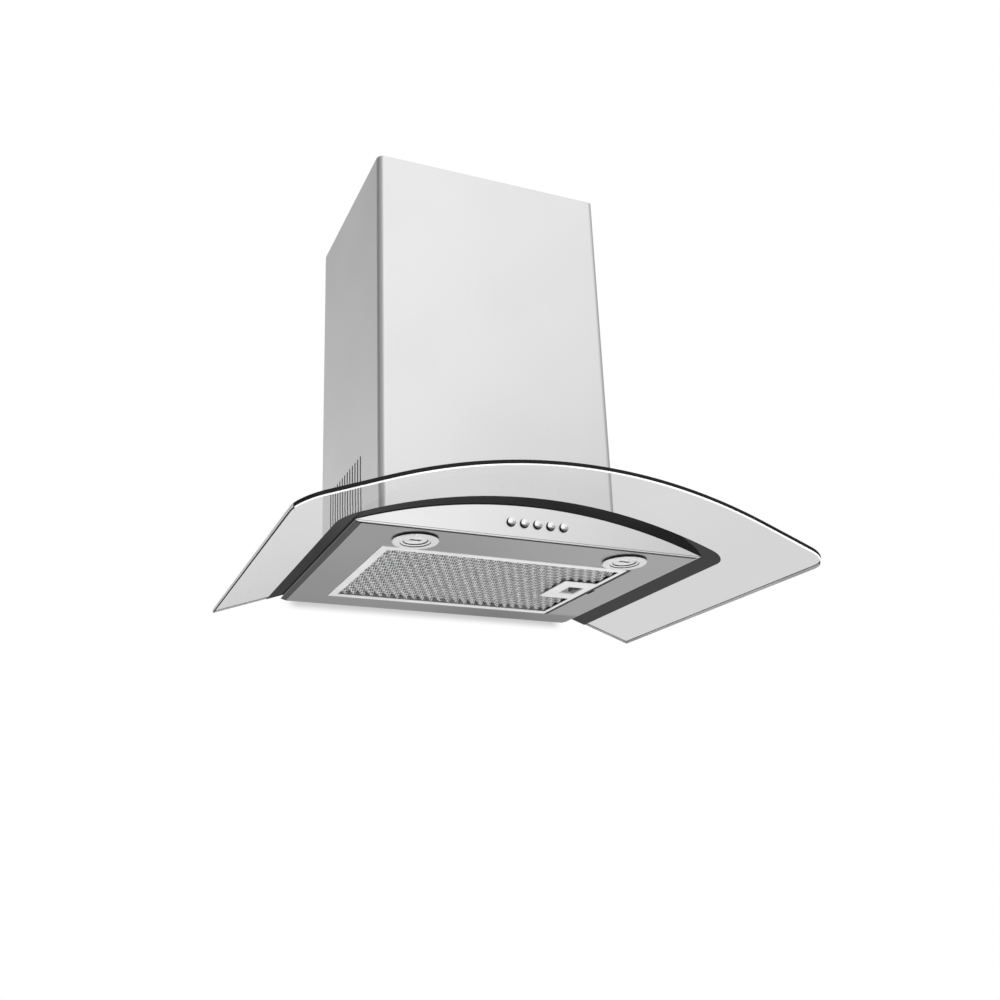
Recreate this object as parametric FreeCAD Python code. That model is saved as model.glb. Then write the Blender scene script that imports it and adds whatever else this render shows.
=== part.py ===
import FreeCAD, Part
import math
import os

# Curved glass range hood for a wall: a bent glass canopy on a shallow steel body, a chimney above it,
# and the blower, filter, lamps and push buttons that make it work.
# Lengths are millimetres. X runs across, +Y into the wall, +Z up, and y = 0 is the wall.
# Levels (z) are measured up from the underside of the bottom panel. save() lowers everything by
# hang_height, so that the origin lies on the wall, midway between the two hanging slots.

V = FreeCAD.Vector

# ---- glass canopy
glass_width = 600.0
glass_reach = 117.5            # fascia to the front edge, on the centre line
glass_rear_gap = 15.0          # wall to the rear edge
glass_thickness = 5.5
glass_radius = 630.0           # underside of the bent middle
glass_bend_half = 210.0        # half the width of the bent middle; the wings beyond it are flat
glass_bow = 8.1                # how far the front edge falls back at its corners
glass_corner = 28.0
notch_gap = 3.0                # glass to the casing that passes through it
notch_corner = 8.0
border_half = 232.0            # printed border, outer half width
border_reach = 25.5            # fascia to the print's front edge
border_bow = 3.8
border_corner = 22.0
border_thickness = 0.3
print_gap = 0.05               # print to the glass, so that their bent faces stay apart
border_lap = 9.0               # how far the print laps inside the body's outline

# ---- steel body under the glass
sheet = 0.8
body_width = 406.0
lamp_strip = 68.0              # filter to the fascia, where the lamps sit
body_rise = 40.0               # panel underside to the glass underside, on the centre line
body_rear_gap = 2.0
flange_run = 7.0               # the panel's slanted sides
flange_rise = 2.0
seal_thickness = 0.8
seal_width = 12.0
fascia_lip = 2.3
lip_gap = 0.3
skin_inset = 3.0               # top skin's side edges, inside the flange's edge

# ---- filter cassette and its latch
filter_width = 316.0
filter_depth = 218.0
filter_rear = 44.0
filter_gap = 0.8               # cassette to the panel's opening, all round
filter_thickness = 9.0
filter_face = 10.0             # width of the frame that shows
filter_wall = 0.8
filter_proud = 0.4             # frame face below the panel's underside
guide_height = 7.0             # upstand round the panel's opening
pleat_pitch = 10.5
pleat_depth = 4.6
pleat_wall = 0.5
pleat_angle = 62.0             # pleats, turned from the X axis
tab_width = 16.0
tab_reach = 5.0
tab_offset = 70.0
tab_wall = 1.0
tab_play = 0.4
window_play = 1.0              # windows in the upstand, beside the tabs and the bolt
latch_offset = 8.5             # filter's middle to the latch's, towards the front
latch_width = 44.0
latch_length = 72.0
pull_width = 21.0
pull_length = 29.0
pull_inset = 6.0               # recess to the latch plate's right edge
pull_depth = 6.5
slider_length = 16.0           # along Y
slider_wall = 1.6
slider_play = 0.3
latch_travel = 5.0
nose_reach = 3.0
grip_wall = 2.0
grip_drop = 3.4
grip_round = 1.5
latch_nose_gap = 0.5           # the bolt's nose to the end of its notch

# ---- lamps
lamp_x = 130.4
lamp_set_back = 37.0           # fascia to the lamps' centres
bezel_radius = 26.0
bezel_drop = 3.0
bezel_round = 1.0
lens_radius = 15.2
lens_thickness = 1.8
lens_lap = 1.2                 # bezel's inner lip over the lens
lip_recess = 1.4               # inner lip, above the bezel's face
lip_slope = 1.6                # run of the sloping ring outside the lens
lip_step = 0.9
ring_edge = 0.4
lens_seat = 2.2                # bezel's face to the lens
seat_height = 1.4
barrel_radius = 22.8
barrel_wall = 1.0
barrel_height = 13.0
lamp_fit = 0.4
cup_wall = 0.8
cup_edge = 0.4                 # the bowl's rim, where it stands on the lens
cup_floor = 9.2                # radius of the bowl's flat top
cup_shoulder = 4.0
bulb_radius = 3.4
bulb_length = 17.0
bulb_chamfer = 1.8
bulb_base_width = 6.0
bulb_base_depth = 4.0

# ---- push buttons
button_count = 5
button_pitch = 16.1
button_z = 19.0
button_radius = 5.0
button_gap = 0.4
button_proud = 3.2
button_dome = 1.6              # height of the dome
dome_flat = 1.6                # radius of the dome's flat middle
dome_shoulder = 3.9            # radius where its slope changes
dome_step = 0.6
button_travel = 2.6
button_body = 7.0              # cap length behind the fascia's front face
stem_radius = 2.0
stem_length = 12.0
stem_clearance = 0.06
stem_spare = 0.5               # stem's tip to the end of its bore, when pressed
block_gap = 0.6                # cap to switch block, when pressed
block_depth = 18.0
block_height = 17.0
block_margin = 8.0
lug_width = 5.0
spade_width = 4.8
spade_length = 7.0
spade_wall = 0.8
spade_spacing = 8.0

# ---- casing that carries the blower
plate_thickness = 2.0
plate_inset = 10.0             # plate's sides, inside the casing's
plate_bottom = 60.0
plate_top = 345.0
plate_corner = 10.0
hang_height = 325.0            # panel underside to the hanging slots
slot_spacing = 200.0
slot_length = 16.0
slot_width = 8.5
lower_hole_height = 72.0
lower_hole_spacing = 180.0
lower_hole_radius = 3.25
casing_inset = 20.0            # chimney's sides to the casing's
casing_set_back = 29.0         # chimney's front to the casing's
casing_top = 300.0
lid_thickness = 1.0
lid_skirt = 12.0
clamp_width = 22.0
clamp_reach = 14.5
clamp_wall = 1.2
clamp_height = 16.0
clamp_pad = 1.5
pad_inset = 1.0                # pad's inner edge, in from the glass's edge
clamp_rows = (60.0, 170.0)     # along the sides, from the wall

# ---- chimney
chimney_width = 310.0
chimney_depth = 245.0
chimney_top = 530.0
chimney_corner = 9.0
chimney_return = 20.0          # rear flanges, turned inwards
glass_stand_off = 0.3
vent_count = 13
vent_pitch = 11.0
vent_width = 4.0
vent_top = 143.0
vent_height = 83.0
vent_first = 40.0              # wall to the first slot
inner_gap = 1.4                # between the two chimney sleeves
inner_bottom = 160.0
inner_top_gap = 2.0
inner_return = 11.0
rest_length = 30.0
rest_wall = 1.5
rest_leg = 14.0
rest_gap = 0.3
bracket_height = 18.0
bracket_wall = 1.6
bracket_ear = 30.0
bracket_screw_y = 18.0         # from the bracket's back
bracket_drop = 12.0
bracket_hole_spacing = 160.0
bracket_hole_radius = 3.0

# ---- blower
fan_x = -42.0
fan_z = 172.0
fan_depth = 96.0
fan_wall = 1.5
impeller_gap = 6.0             # impeller to the housing's back plate
nose_gap = 2.5                 # motor's nose to the impeller
nose_hole_gap = 1.0            # motor's nose to its hole in the housing
cutoff_gap = 8.0               # impeller to the scroll at its tongue
scroll_growth = 9.0            # per quarter turn
tongue_angle = 50.0
mouth_half = 52.0
mouth_flange = 12.0
impeller_radius = 66.0
impeller_length = 72.0
impeller_disc = 1.6
blade_count = 30
blade_ring = 13.0              # wheel's edge to the blades' inner ends
blade_inset = 0.8              # wheel's edge to the blades' tips
blade_wall = 1.0
blade_sweep = 9.0              # degrees that a blade leans forward
blade_hollow = 2.0             # depth of a blade's curve
rim_width = 7.0                # ring that joins the blades' front ends
hub_radius = 12.0
hub_length = 22.0
inlet_radius = 50.0
inlet_flare = 7.0
inlet_lip = 2.0                # flat rim round the flare
inlet_depth = 4.0              # reach behind the housing's front plate
shaft_radius = 4.0
bearing_clearance = 0.05
motor_radius = 42.0
motor_length = 42.0
motor_nose_radius = 17.0
motor_taper = 5.0
motor_nose_round = 4.0
motor_cap_round = 6.0
motor_cap_height = 3.0         # the cap over the rear bearing
motor_cap_radius = 14.0
motor_cap_taper = 2.0
shaft_seat = 33.6              # shaft's length inside the motor
shaft_end_gap = 1.0
shaft_proud = 2.0              # shaft's tip beyond the impeller's hub
arm_count = 3
arm_width = 14.0
arm_wall = 2.0
arm_circle = 56.0

# ---- outlet collar and its two flaps
duct_radius = 74.7
collar_wall = 2.5
collar_height = 45.0
collar_flange = 11.0
collar_flange_wall = 2.5
collar_screw_count = 4
ledge_width = 2.4
ledge_height = 2.0
ledge_level = 12.0
flap_wall = 1.6
flap_gap = 0.5
flap_seat_gap = 0.3
flap_pin_x = 6.0
flap_pin_radius = 1.6
flap_pin_clearance = 0.06
flap_lug = 5.0
lug_wall = 2.0                 # lug round a pin
lug_root = 0.5                 # how far a lug grows into the collar's wall
flap_barrel_wall = 0.9
pin_floor = 1.0                # lug behind a pin's hole
pin_end_gap = 0.5

# ---- electrics on the lid
box_clearance = 10.3           # collar's flange to the terminal box
box_depth = 70.0
box_height = 30.0
box_wall = 2.0
box_lid = 2.0
box_edge_gap = 3.0
box_corner = 3.0
strip_width = 16.0
strip_length = 30.0
strip_height = 12.0
strip_ways = 3
strip_pitch = 10.0
strip_hole = 2.6
strip_floor = 6.0
gland_radius = 8.0
gland_length = 15.0
gland_bore = 4.0
gland_wall = 1.5
gland_flange = 4.0
gland_taper = 2.4
gland_level = 11.0             # above the lid
cable_hole_radius = 7.0        # in the hanging plate, behind the gland
capacitor_radius = 14.0
capacitor_height = 52.0
capacitor_edge_gap = 8.0       # can to the casing's side
capacitor_y = -60.0
clip_wall = 1.2
clip_height = 12.0
clip_ear_width = 12.0
clip_ear_length = 14.0
capacitor_chamfer = 1.5
capacitor_tag_spacing = 8.0
capacitor_tag_width = 6.0
capacitor_tag_height = 8.0
capacitor_tag_root = 3.0       # tag inside the can

# ---- fasteners
screw_radius = 2.0
screw_clearance = 0.1
screw_tail = 3.0               # thread beyond the last sheet
head_radius = 3.8
head_height = 2.2

# ---- worked out from the sizes above
bend_angle = math.asin(glass_bend_half / glass_radius)
bend_centre_z = body_rise - glass_radius
glass_half = glass_width / 2
body_half = body_width / 2
flange_half = body_half + flange_run
body_depth = filter_rear + filter_depth + lamp_strip
glass_front = body_depth + glass_reach
border_front = body_depth + border_reach
lamp_y = lamp_set_back - body_depth
seal_bottom = -border_thickness - seal_thickness
skin_bottom = seal_bottom - sheet
casing_rear = -plate_thickness
casing_front = casing_set_back - chimney_depth
casing_half = chimney_width / 2 - casing_inset
casing_mid = (casing_rear + casing_front) / 2
plate_width = 2 * (casing_half - plate_inset)
notch_half = casing_half + notch_gap
notch_front = casing_front - notch_gap
opening_half = filter_width / 2 + filter_gap
opening_rear = -filter_rear + filter_gap
opening_front = -filter_rear - filter_depth - filter_gap
filter_mid = -filter_rear - filter_depth / 2
latch_y = filter_mid - latch_offset
frame_half = filter_width / 2
frame_bottom = -filter_proud
frame_top = frame_bottom + filter_thickness
lid_top = casing_top + lid_thickness
box_width = casing_half - box_edge_gap - box_clearance - duct_radius - collar_flange
capacitor_x = capacitor_edge_gap + capacitor_radius - casing_half
collar_bore = duct_radius - collar_wall
flap_level = lid_top + collar_flange_wall + ledge_level + ledge_height + flap_seat_gap
fan_front = casing_mid - fan_depth / 2
fan_back = casing_mid + fan_depth / 2
far = 1000.0                   # longer than the hood, for cutting tools
past = 1.0                     # how far other cutting tools run past a face


# ---- shared shapes

def box(x0, x1, y0, y1, z0, z1):
    return Part.makeBox(x1 - x0, y1 - y0, z1 - z0, V(x0, y0, z0))


def rod_x(radius, y, z, x0, x1):
    return Part.makeCylinder(radius, x1 - x0, V(x0, y, z), V(1, 0, 0))


def rod_y(radius, x, z, y0, y1):
    return Part.makeCylinder(radius, y1 - y0, V(x, y0, z), V(0, 1, 0))


def rod_z(radius, x, y, z0, z1):
    return Part.makeCylinder(radius, z1 - z0, V(x, y, z0), V(0, 0, 1))


def upright_fillet(shape, radius, chosen=lambda p: True):
    edges = []
    for edge in shape.Edges:
        ends = [vertex.Point for vertex in edge.Vertexes]
        if len(ends) != 2:
            continue
        upright = abs(ends[0].x - ends[1].x) < 1e-6 and abs(ends[0].y - ends[1].y) < 1e-6
        if upright and chosen(ends[0]):
            edges.append(edge)
    return shape.makeFillet(radius, edges)


def rounded_box(x0, x1, y0, y1, z0, z1, radius):
    return upright_fillet(box(x0, x1, y0, y1, z0, z1), radius)


def loop_face(points):
    return Part.Face(Part.makePolygon(points + [points[0]]))


def turned(profile_points, x, y):
    # a revolved solid about the upright line through x, y; points are (radius, level)
    face = loop_face([V(x + r, y, z) for r, z in profile_points])
    return face.revolve(V(x, y, 0), V(0, 0, 1), 360)


def mirrored(shape):
    return shape.mirror(V(0, 0, 0), V(1, 0, 0))


def screws(places):
    # pan heads, each with its underside at start and its shank running along direction
    made = []
    for start, direction, grip in places:
        head = Part.makeCylinder(head_radius, head_height, start - direction * head_height, direction)
        shank = Part.makeCylinder(screw_radius, grip + screw_tail, start, direction)
        made.append(head.fuse(shank).removeSplitter())
    return made


def drilled(shape, places):
    # clearance holes for the same screws
    for start, direction, grip in places:
        hole = Part.makeCylinder(screw_radius + screw_clearance, grip + screw_tail, start, direction)
        shape = shape.cut(hole)
    return shape


def both_sides(x, y, z, grip, direction=-1):
    # a screw on the right that runs towards the middle (or outwards), and its mirror image
    return [(V(x, y, z), V(direction, 0, 0), grip), (V(-x, y, z), V(-direction, 0, 0), grip)]


# ---- the bent surface that the glass, print, seal and top skin share

def bent_level(x, offset):
    # level of the surface that lies offset above the glass underside
    radius = glass_radius + offset
    arc_half = radius * math.sin(bend_angle)
    if abs(x) <= arc_half:
        return bend_centre_z + math.sqrt(radius ** 2 - x ** 2)
    arc_end = bend_centre_z + radius * math.cos(bend_angle)
    return arc_end - (abs(x) - arc_half) * math.tan(bend_angle)


def bent_edges(offset, half):
    radius = glass_radius + offset
    arc_half = radius * math.sin(bend_angle)
    end_z = bent_level(arc_half, offset)
    left_tip = V(-half, 0, bent_level(half, offset))
    right_tip = V(half, 0, bent_level(half, offset))
    left_end = V(-arc_half, 0, end_z)
    right_end = V(arc_half, 0, end_z)
    arc = Part.Arc(left_end, V(0, 0, bend_centre_z + radius), right_end).toShape()
    edges = [Part.makeLine(left_tip, left_end), arc, Part.makeLine(right_end, right_tip)]
    return edges, left_tip, right_tip


def bent_layer(bottom, top):
    # everything between two offsets, wider and deeper than the canopy
    half = glass_width
    upper, upper_left, upper_right = bent_edges(top, half)
    lower, lower_left, lower_right = bent_edges(bottom, half)
    ends = [Part.makeLine(upper_right, lower_right), Part.makeLine(upper_left, lower_left)]
    face = Part.Face(Part.Wire(Part.__sortEdges__(upper + lower + ends)))
    return face.extrude(V(0, -far, 0))


def below_layer(offset):
    half = glass_width
    upper, upper_left, upper_right = bent_edges(offset, half)
    floor_left = V(-half, 0, -far)
    floor_right = V(half, 0, -far)
    ends = [
        Part.makeLine(upper_right, floor_right),
        Part.makeLine(floor_right, floor_left),
        Part.makeLine(floor_left, upper_left),
    ]
    face = Part.Face(Part.Wire(Part.__sortEdges__(upper + ends)))
    return face.extrude(V(0, -far, 0))


def bowed_plan(half, rear, front, bow, corner):
    # an upright prism whose front edge is an arc that falls back by bow at its rounded corners
    rear_left = V(-half, rear, -far)
    rear_right = V(half, rear, -far)
    front_left = V(-half, front + bow, -far)
    front_right = V(half, front + bow, -far)
    wire = Part.Wire([
        Part.makeLine(rear_left, rear_right),
        Part.makeLine(rear_right, front_right),
        Part.Arc(front_right, V(0, front, -far), front_left).toShape(),
        Part.makeLine(front_left, rear_left),
    ])
    prism = Part.Face(wire).extrude(V(0, 0, 2 * far))
    return upright_fillet(prism, corner, lambda p: p.y < front + bow + 1e-3)


def notch():
    # the opening for the casing, open at the glass's rear edge
    block = box(-notch_half, notch_half, notch_front, far, -far, far)
    return upright_fillet(block, notch_corner, lambda p: p.y < 0)


# ---- glass canopy

def glass_canopy():
    plan = bowed_plan(glass_half, -glass_rear_gap, -glass_front, glass_bow, glass_corner)
    return bent_layer(0, glass_thickness).common(plan).cut(notch())


def glass_border():
    outer = bowed_plan(border_half, -glass_rear_gap, -border_front, border_bow, border_corner)
    inner = box(-flange_half + border_lap, flange_half - border_lap,
                -body_depth + border_lap, far, -far, far)
    return bent_layer(-border_thickness, -print_gap).common(outer).cut(inner)


def canopy_seal():
    rear = -glass_rear_gap
    outer = box(-flange_half, flange_half, -body_depth, rear, -far, far)
    inner = box(-flange_half + seal_width, flange_half - seal_width,
                -body_depth + seal_width, rear - seal_width, -far, far)
    collar = box(-notch_half - seal_width, notch_half + seal_width,
                 notch_front - seal_width, rear, -far, far)
    strip = outer.cut(inner).fuse(collar).cut(notch())
    return bent_layer(seal_bottom, -border_thickness).common(strip)


# ---- steel body

def side_cut():
    # what lies outside the panel's slanted sides
    points = [V(body_half, 0, 0), V(flange_half, 0, flange_rise), V(flange_half, 0, far),
              V(far, 0, far), V(far, 0, -far), V(body_half, 0, -far)]
    right = loop_face(points).extrude(V(0, -far, 0))
    return right.fuse(mirrored(right))


def fascia():
    wall = box(-flange_half, flange_half, -body_depth, -body_depth + sheet, 0, body_rise)
    lip = box(-body_half, body_half, -body_depth, -body_depth + fascia_lip, 0, sheet)
    shape = wall.common(below_layer(seal_bottom)).cut(side_cut()).fuse(lip).removeSplitter()
    for x in button_places():
        shape = shape.cut(rod_y(button_radius + button_gap, x, button_z, -far, -body_depth + sheet + past))
    return shape


def body_top():
    half = flange_half - skin_inset
    plan = box(-half, half, -body_depth + sheet, -body_rear_gap, -far, far)
    neck = box(-casing_half + sheet, casing_half - sheet, casing_front + sheet, casing_rear - sheet,
               -far, far)
    return bent_layer(skin_bottom, seal_bottom).common(plan).cut(neck)


def rear_wall():
    wall = box(-body_half, body_half, -body_rear_gap - sheet, -body_rear_gap, sheet, body_rise)
    return wall.common(below_layer(skin_bottom))


def panel_plate():
    front = -body_depth + fascia_lip + lip_gap
    points = [
        V(-flange_half, front, flange_rise), V(-body_half, front, 0), V(body_half, front, 0),
        V(flange_half, front, flange_rise), V(flange_half, front, flange_rise + sheet),
        V(body_half, front, sheet), V(-body_half, front, sheet),
        V(-flange_half, front, flange_rise + sheet),
    ]
    return loop_face(points).extrude(V(0, -front - body_rear_gap, 0))


def filter_opening():
    return box(-opening_half, opening_half, opening_front, opening_rear, -far, far)


def bottom_panel():
    guide = box(-opening_half - sheet, opening_half + sheet, opening_front - sheet,
                opening_rear + sheet, 0, guide_height)
    shape = panel_plate().fuse(guide).cut(filter_opening())
    for sign in (-1, 1):
        shape = shape.cut(rod_z(barrel_radius + lamp_fit, sign * lamp_x, lamp_y, -past, sheet + past))
    # windows in the upstand for the cassette's two tabs and for the latch's nose
    for y in tab_places():
        half = tab_width / 2 + window_play
        window = box(-opening_half - 2 * sheet, -opening_half + past, y - half, y + half, sheet, far)
        shape = shape.cut(window)
    half = slider_length / 2 + window_play
    nose = box(opening_half - past, opening_half + nose_reach, latch_y - half, latch_y + half, -past, far)
    return shape.cut(nose).removeSplitter()


# ---- filter cassette

def tab_places():
    return [filter_mid - tab_offset, filter_mid + tab_offset]


def filter_frame():
    outer = box(-frame_half, frame_half, -filter_rear - filter_depth, -filter_rear,
                frame_bottom, frame_top)
    channel = outer_inset(filter_wall, frame_bottom + filter_wall, frame_top - filter_wall)
    window = outer_inset(filter_face, -far, far)
    return outer.cut(channel).cut(window).cut(slider_slot(frame_half - 2 * filter_wall))


def slider_slot(x0):
    half = slider_length / 2 + slider_play
    level = slider_level()
    return box(x0, far, latch_y - half, latch_y + half, level - slider_play,
               level + slider_wall + slider_play)


def outer_inset(inset, z0, z1):
    return box(-frame_half + inset, frame_half - inset, -filter_rear - filter_depth + inset,
               -filter_rear - inset, z0, z1)


def filter_mesh():
    # a pleated pad: a zigzag sheet, laid on the slant and cut to the frame's channel
    reach = filter_width
    steps = int(reach / (pleat_pitch / 2))
    mid = frame_bottom + filter_thickness / 2
    low = mid - pleat_depth / 2 - pleat_wall / 2
    points = []
    for i in range(-steps, steps + 1):
        points.append(V(i * pleat_pitch / 2, -reach, low + pleat_depth * (i % 2)))
    upper = [p + V(0, 0, pleat_wall) for p in reversed(points)]
    pleats = loop_face(points + upper).extrude(V(0, 2 * reach, 0))
    pleats.rotate(V(0, 0, 0), V(0, 0, 1), pleat_angle - 90)
    pleats.translate(V(0, filter_mid, 0))
    pad = pleats.common(outer_inset(2 * filter_wall, -far, far))
    return pad.cut(latch_room())


def latch_room():
    # the pad stops short of the latch's cup and slider
    cup = cup_box(filter_gap)
    run = box(cup.BoundBox.XMin, frame_half, latch_y - slider_length / 2 - filter_gap,
              latch_y + slider_length / 2 + filter_gap, -far, far)
    return cup.fuse(run)


def filter_tabs():
    tabs = []
    for y in tab_places():
        z0 = sheet + tab_play
        tabs.append(box(-frame_half - tab_reach, -frame_half, y - tab_width / 2, y + tab_width / 2,
                        z0, z0 + tab_wall))
    return Part.makeCompound(tabs)


def latch_right():
    return frame_half - filter_face


def pull_left():
    return latch_right() - pull_inset - pull_width


def cup_box(grow=0.0):
    left = pull_left() - filter_wall - grow
    right = pull_left() + pull_width + filter_wall + grow
    half = pull_length / 2 + filter_wall + grow
    return box(left, right, latch_y - half, latch_y + half, frame_bottom, frame_bottom + pull_depth)


def pull_recess(z0, z1):
    half = pull_length / 2
    return box(pull_left(), pull_left() + pull_width, latch_y - half, latch_y + half, z0, z1)


def latch_plate():
    plate = box(latch_right() - latch_width, latch_right(), latch_y - latch_length / 2,
                latch_y + latch_length / 2, frame_bottom, frame_bottom + filter_wall)
    shape = plate.fuse(cup_box()).cut(pull_recess(-far, frame_bottom + pull_depth - filter_wall))
    return shape.cut(slider_slot(pull_left() + pull_width - past)).removeSplitter()


def slider_level():
    return frame_bottom + pull_depth - filter_wall - slider_play - slider_wall


def latch_slider():
    # a flat bolt with a rounded grip that hangs into the recess
    level = slider_level()
    grip_x = pull_left() + pull_width / 2 + latch_travel / 2
    half = slider_length / 2
    nose = opening_half + nose_reach - latch_nose_gap
    bolt = box(grip_x - grip_wall, nose, latch_y - half, latch_y + half, level, level + slider_wall)
    grip = box(grip_x - grip_wall, grip_x, latch_y - half, latch_y + half, level - grip_drop, level)
    low_ends = [edge for edge in grip.Edges
                if abs(edge.CenterOfMass.z - grip.BoundBox.ZMin) < 1e-6
                and abs(edge.CenterOfMass.y - latch_y) > half / 2]
    grip = grip.makeFillet(grip_round, low_ends)
    return bolt.fuse(grip).removeSplitter()


# ---- lamps, built on the left and mirrored to the right

def lamp_bezel():
    face = -bezel_drop
    inner = lens_radius - lens_lap
    ring = lens_radius + lip_slope
    seat = lens_level()
    barrel = barrel_radius - barrel_wall
    pocket = lens_radius + lamp_fit
    profile = [
        (inner, face + lip_recess), (ring, face + lip_step), (ring + ring_edge, face),
        (bezel_radius - bezel_round, face), (bezel_radius, face + bezel_round), (bezel_radius, 0),
        (barrel_radius, 0), (barrel_radius, barrel_height), (barrel, barrel_height),
        (barrel, seat + seat_height), (pocket, seat + seat_height), (pocket, seat), (inner, seat),
    ]
    return turned(profile, -lamp_x, lamp_y)


def lens_level():
    return -bezel_drop + lens_seat


def lamp_lens():
    return rod_z(lens_radius, -lamp_x, lamp_y, lens_level(), lens_level() + lens_thickness)


def lamp_cup():
    # reflector: a shallow bowl under a flat cap, seated on the lens and inside the barrel
    foot = lens_level() + lens_thickness
    rim = lens_radius - cup_edge
    outer = barrel_radius - barrel_wall - lamp_fit
    cap = barrel_height
    profile = [
        (rim, foot), (lens_radius, foot), (outer, cap - cup_shoulder), (outer, cap + cup_wall),
        (0, cap + cup_wall), (0, cap), (cup_floor, cap),
    ]
    return turned(profile, -lamp_x, lamp_y)


def lamp_bulb():
    z = (lens_level() + lens_thickness + barrel_height) / 2
    half = bulb_length / 2
    tube = rod_x(bulb_radius, lamp_y, z, -lamp_x - half, -lamp_x + half)
    tube = tube.makeChamfer(bulb_chamfer, [e for e in tube.Edges if len(e.Vertexes) == 1])
    wide = bulb_base_width / 2
    deep = bulb_base_depth / 2
    base = box(-lamp_x - wide, -lamp_x + wide, lamp_y - deep, lamp_y + deep, z, barrel_height)
    return tube.fuse(base).removeSplitter()


# ---- push buttons and their switch block

def button_places():
    first = -button_pitch * (button_count - 1) / 2
    return [first + i * button_pitch for i in range(button_count)]


def button_back():
    return -body_depth + button_body


def block_front():
    return button_back() + button_travel + block_gap


def push_button(x):
    # a cap with a two-step dome, turned about the Y axis, and its stem into the switch block
    front = -body_depth - button_proud
    rim = front + button_dome
    back = button_back()
    tip = block_front() + stem_length
    profile = [V(0, front, 0), V(dome_flat, front, 0), V(dome_shoulder, front + dome_step, 0),
               V(button_radius, rim, 0), V(button_radius, back, 0), V(stem_radius, back, 0),
               V(stem_radius, tip, 0), V(0, tip, 0)]
    solid = loop_face(profile).revolve(V(0, 0, 0), V(0, 1, 0), 360)
    solid.translate(V(x, 0, button_z))
    return solid


def block_half():
    return button_pitch * (button_count - 1) / 2 + button_radius + block_margin


def switch_block():
    half = block_half()
    low = button_z - block_height / 2
    high = button_z + block_height / 2
    back = -body_depth + sheet
    shape = box(-half, half, block_front(), block_front() + block_depth, low, high)
    for x0 in (-half, half - lug_width):
        shape = shape.fuse(box(x0, x0 + lug_width, back, block_front(), low, high))
    for x in button_places():
        depth = stem_length + button_travel + stem_spare
        shape = shape.cut(rod_y(stem_radius + stem_clearance, x, button_z, block_front() - past,
                                block_front() + depth))
    return shape.removeSplitter()


def switch_terminals():
    # two spade terminals behind each switch
    shapes = []
    rear = block_front() + block_depth
    wide = spade_width / 2
    thick = spade_wall / 2
    for x in button_places():
        for z in (button_z - spade_spacing / 2, button_z + spade_spacing / 2):
            shapes.append(box(x - wide, x + wide, rear, rear + spade_length, z - thick, z + thick))
    return Part.makeCompound(shapes)


# ---- hanging plate, casing and lid

def hanging_plate():
    plate = rounded_flat(plate_width, plate_bottom, plate_top)
    for x in (-slot_spacing / 2, slot_spacing / 2):
        plate = plate.cut(wall_slot(x, hang_height, slot_length, slot_width))
    for hole in lower_holes():
        plate = plate.cut(hole)
    return plate.cut(rod_y(cable_hole_radius, box_x() + box_width / 2, lid_top + gland_level, -far, far))


def rounded_flat(width, z0, z1):
    plate = box(-width / 2, width / 2, -plate_thickness, 0, z0, z1)
    edges = [e for e in plate.Edges if abs(e.Vertexes[0].Point.y - e.Vertexes[1].Point.y) > 1e-6]
    return plate.makeFillet(plate_corner, edges)


def wall_slot(x, z, length, width):
    run = (length - width) / 2
    radius = width / 2
    slot = box(x - run, x + run, -far, far, z - radius, z + radius)
    for end in (x - run, x + run):
        slot = slot.fuse(rod_y(radius, end, z, -far, far))
    return slot.removeSplitter()


def lower_holes():
    half = lower_hole_spacing / 2
    return [rod_y(lower_hole_radius, x, lower_hole_height, casing_mid, far) for x in (-half, half)]


def inner_casing():
    outer = box(-casing_half, casing_half, casing_front, casing_rear, 0, casing_top)
    inner = box(-casing_half + sheet, casing_half - sheet, casing_front + sheet, casing_rear - sheet,
                -far, far)
    shape = outer.cut(inner).cut(below_layer(seal_bottom))
    for hole in lower_holes():
        shape = shape.cut(hole)
    return drilled(shape, clamp_screw_places() + rest_screw_places())


def casing_lid():
    half = casing_half - sheet
    rear = casing_rear - sheet
    front = casing_front + sheet
    top = box(-casing_half, casing_half, casing_front, casing_rear, casing_top, lid_top)
    skirt = box(-half, half, front, rear, casing_top - lid_skirt, casing_top)
    hollow = box(-half + sheet, half - sheet, front + sheet, rear - sheet, -far, casing_top)
    mouth = box(-mouth_half, mouth_half, fan_front + fan_wall, fan_back - fan_wall, -far, far)
    shape = top.fuse(skirt.cut(hollow)).cut(mouth).removeSplitter()
    return drilled(shape, collar_screw_places())


# ---- clamps that hold the glass down beside the casing

def clamp_level():
    outer = casing_half + clamp_reach
    return max(bent_level(x, glass_thickness) for x in (casing_half, outer)) + clamp_pad


def side_clamp(distance):
    z = clamp_level()
    y0 = -distance - clamp_width / 2
    y1 = -distance + clamp_width / 2
    leg = box(casing_half, casing_half + clamp_wall, y0, y1, z, z + clamp_height)
    foot = box(casing_half, casing_half + clamp_reach, y0, y1, z, z + clamp_wall)
    pad = box(notch_half + pad_inset, casing_half + clamp_reach, y0, y1, 0, z)
    return leg.fuse(foot).removeSplitter(), pad.cut(below_layer(glass_thickness))


def front_clamp():
    z = bent_level(0, glass_thickness) + clamp_pad
    half = clamp_width / 2
    leg = box(-half, half, casing_front - clamp_wall, casing_front, z, z + clamp_height)
    foot = box(-half, half, casing_front - clamp_reach, casing_front, z, z + clamp_wall)
    pad = box(-half, half, casing_front - clamp_reach, notch_front - pad_inset, 0, z)
    return leg.fuse(foot).removeSplitter(), pad.cut(below_layer(glass_thickness))


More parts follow.
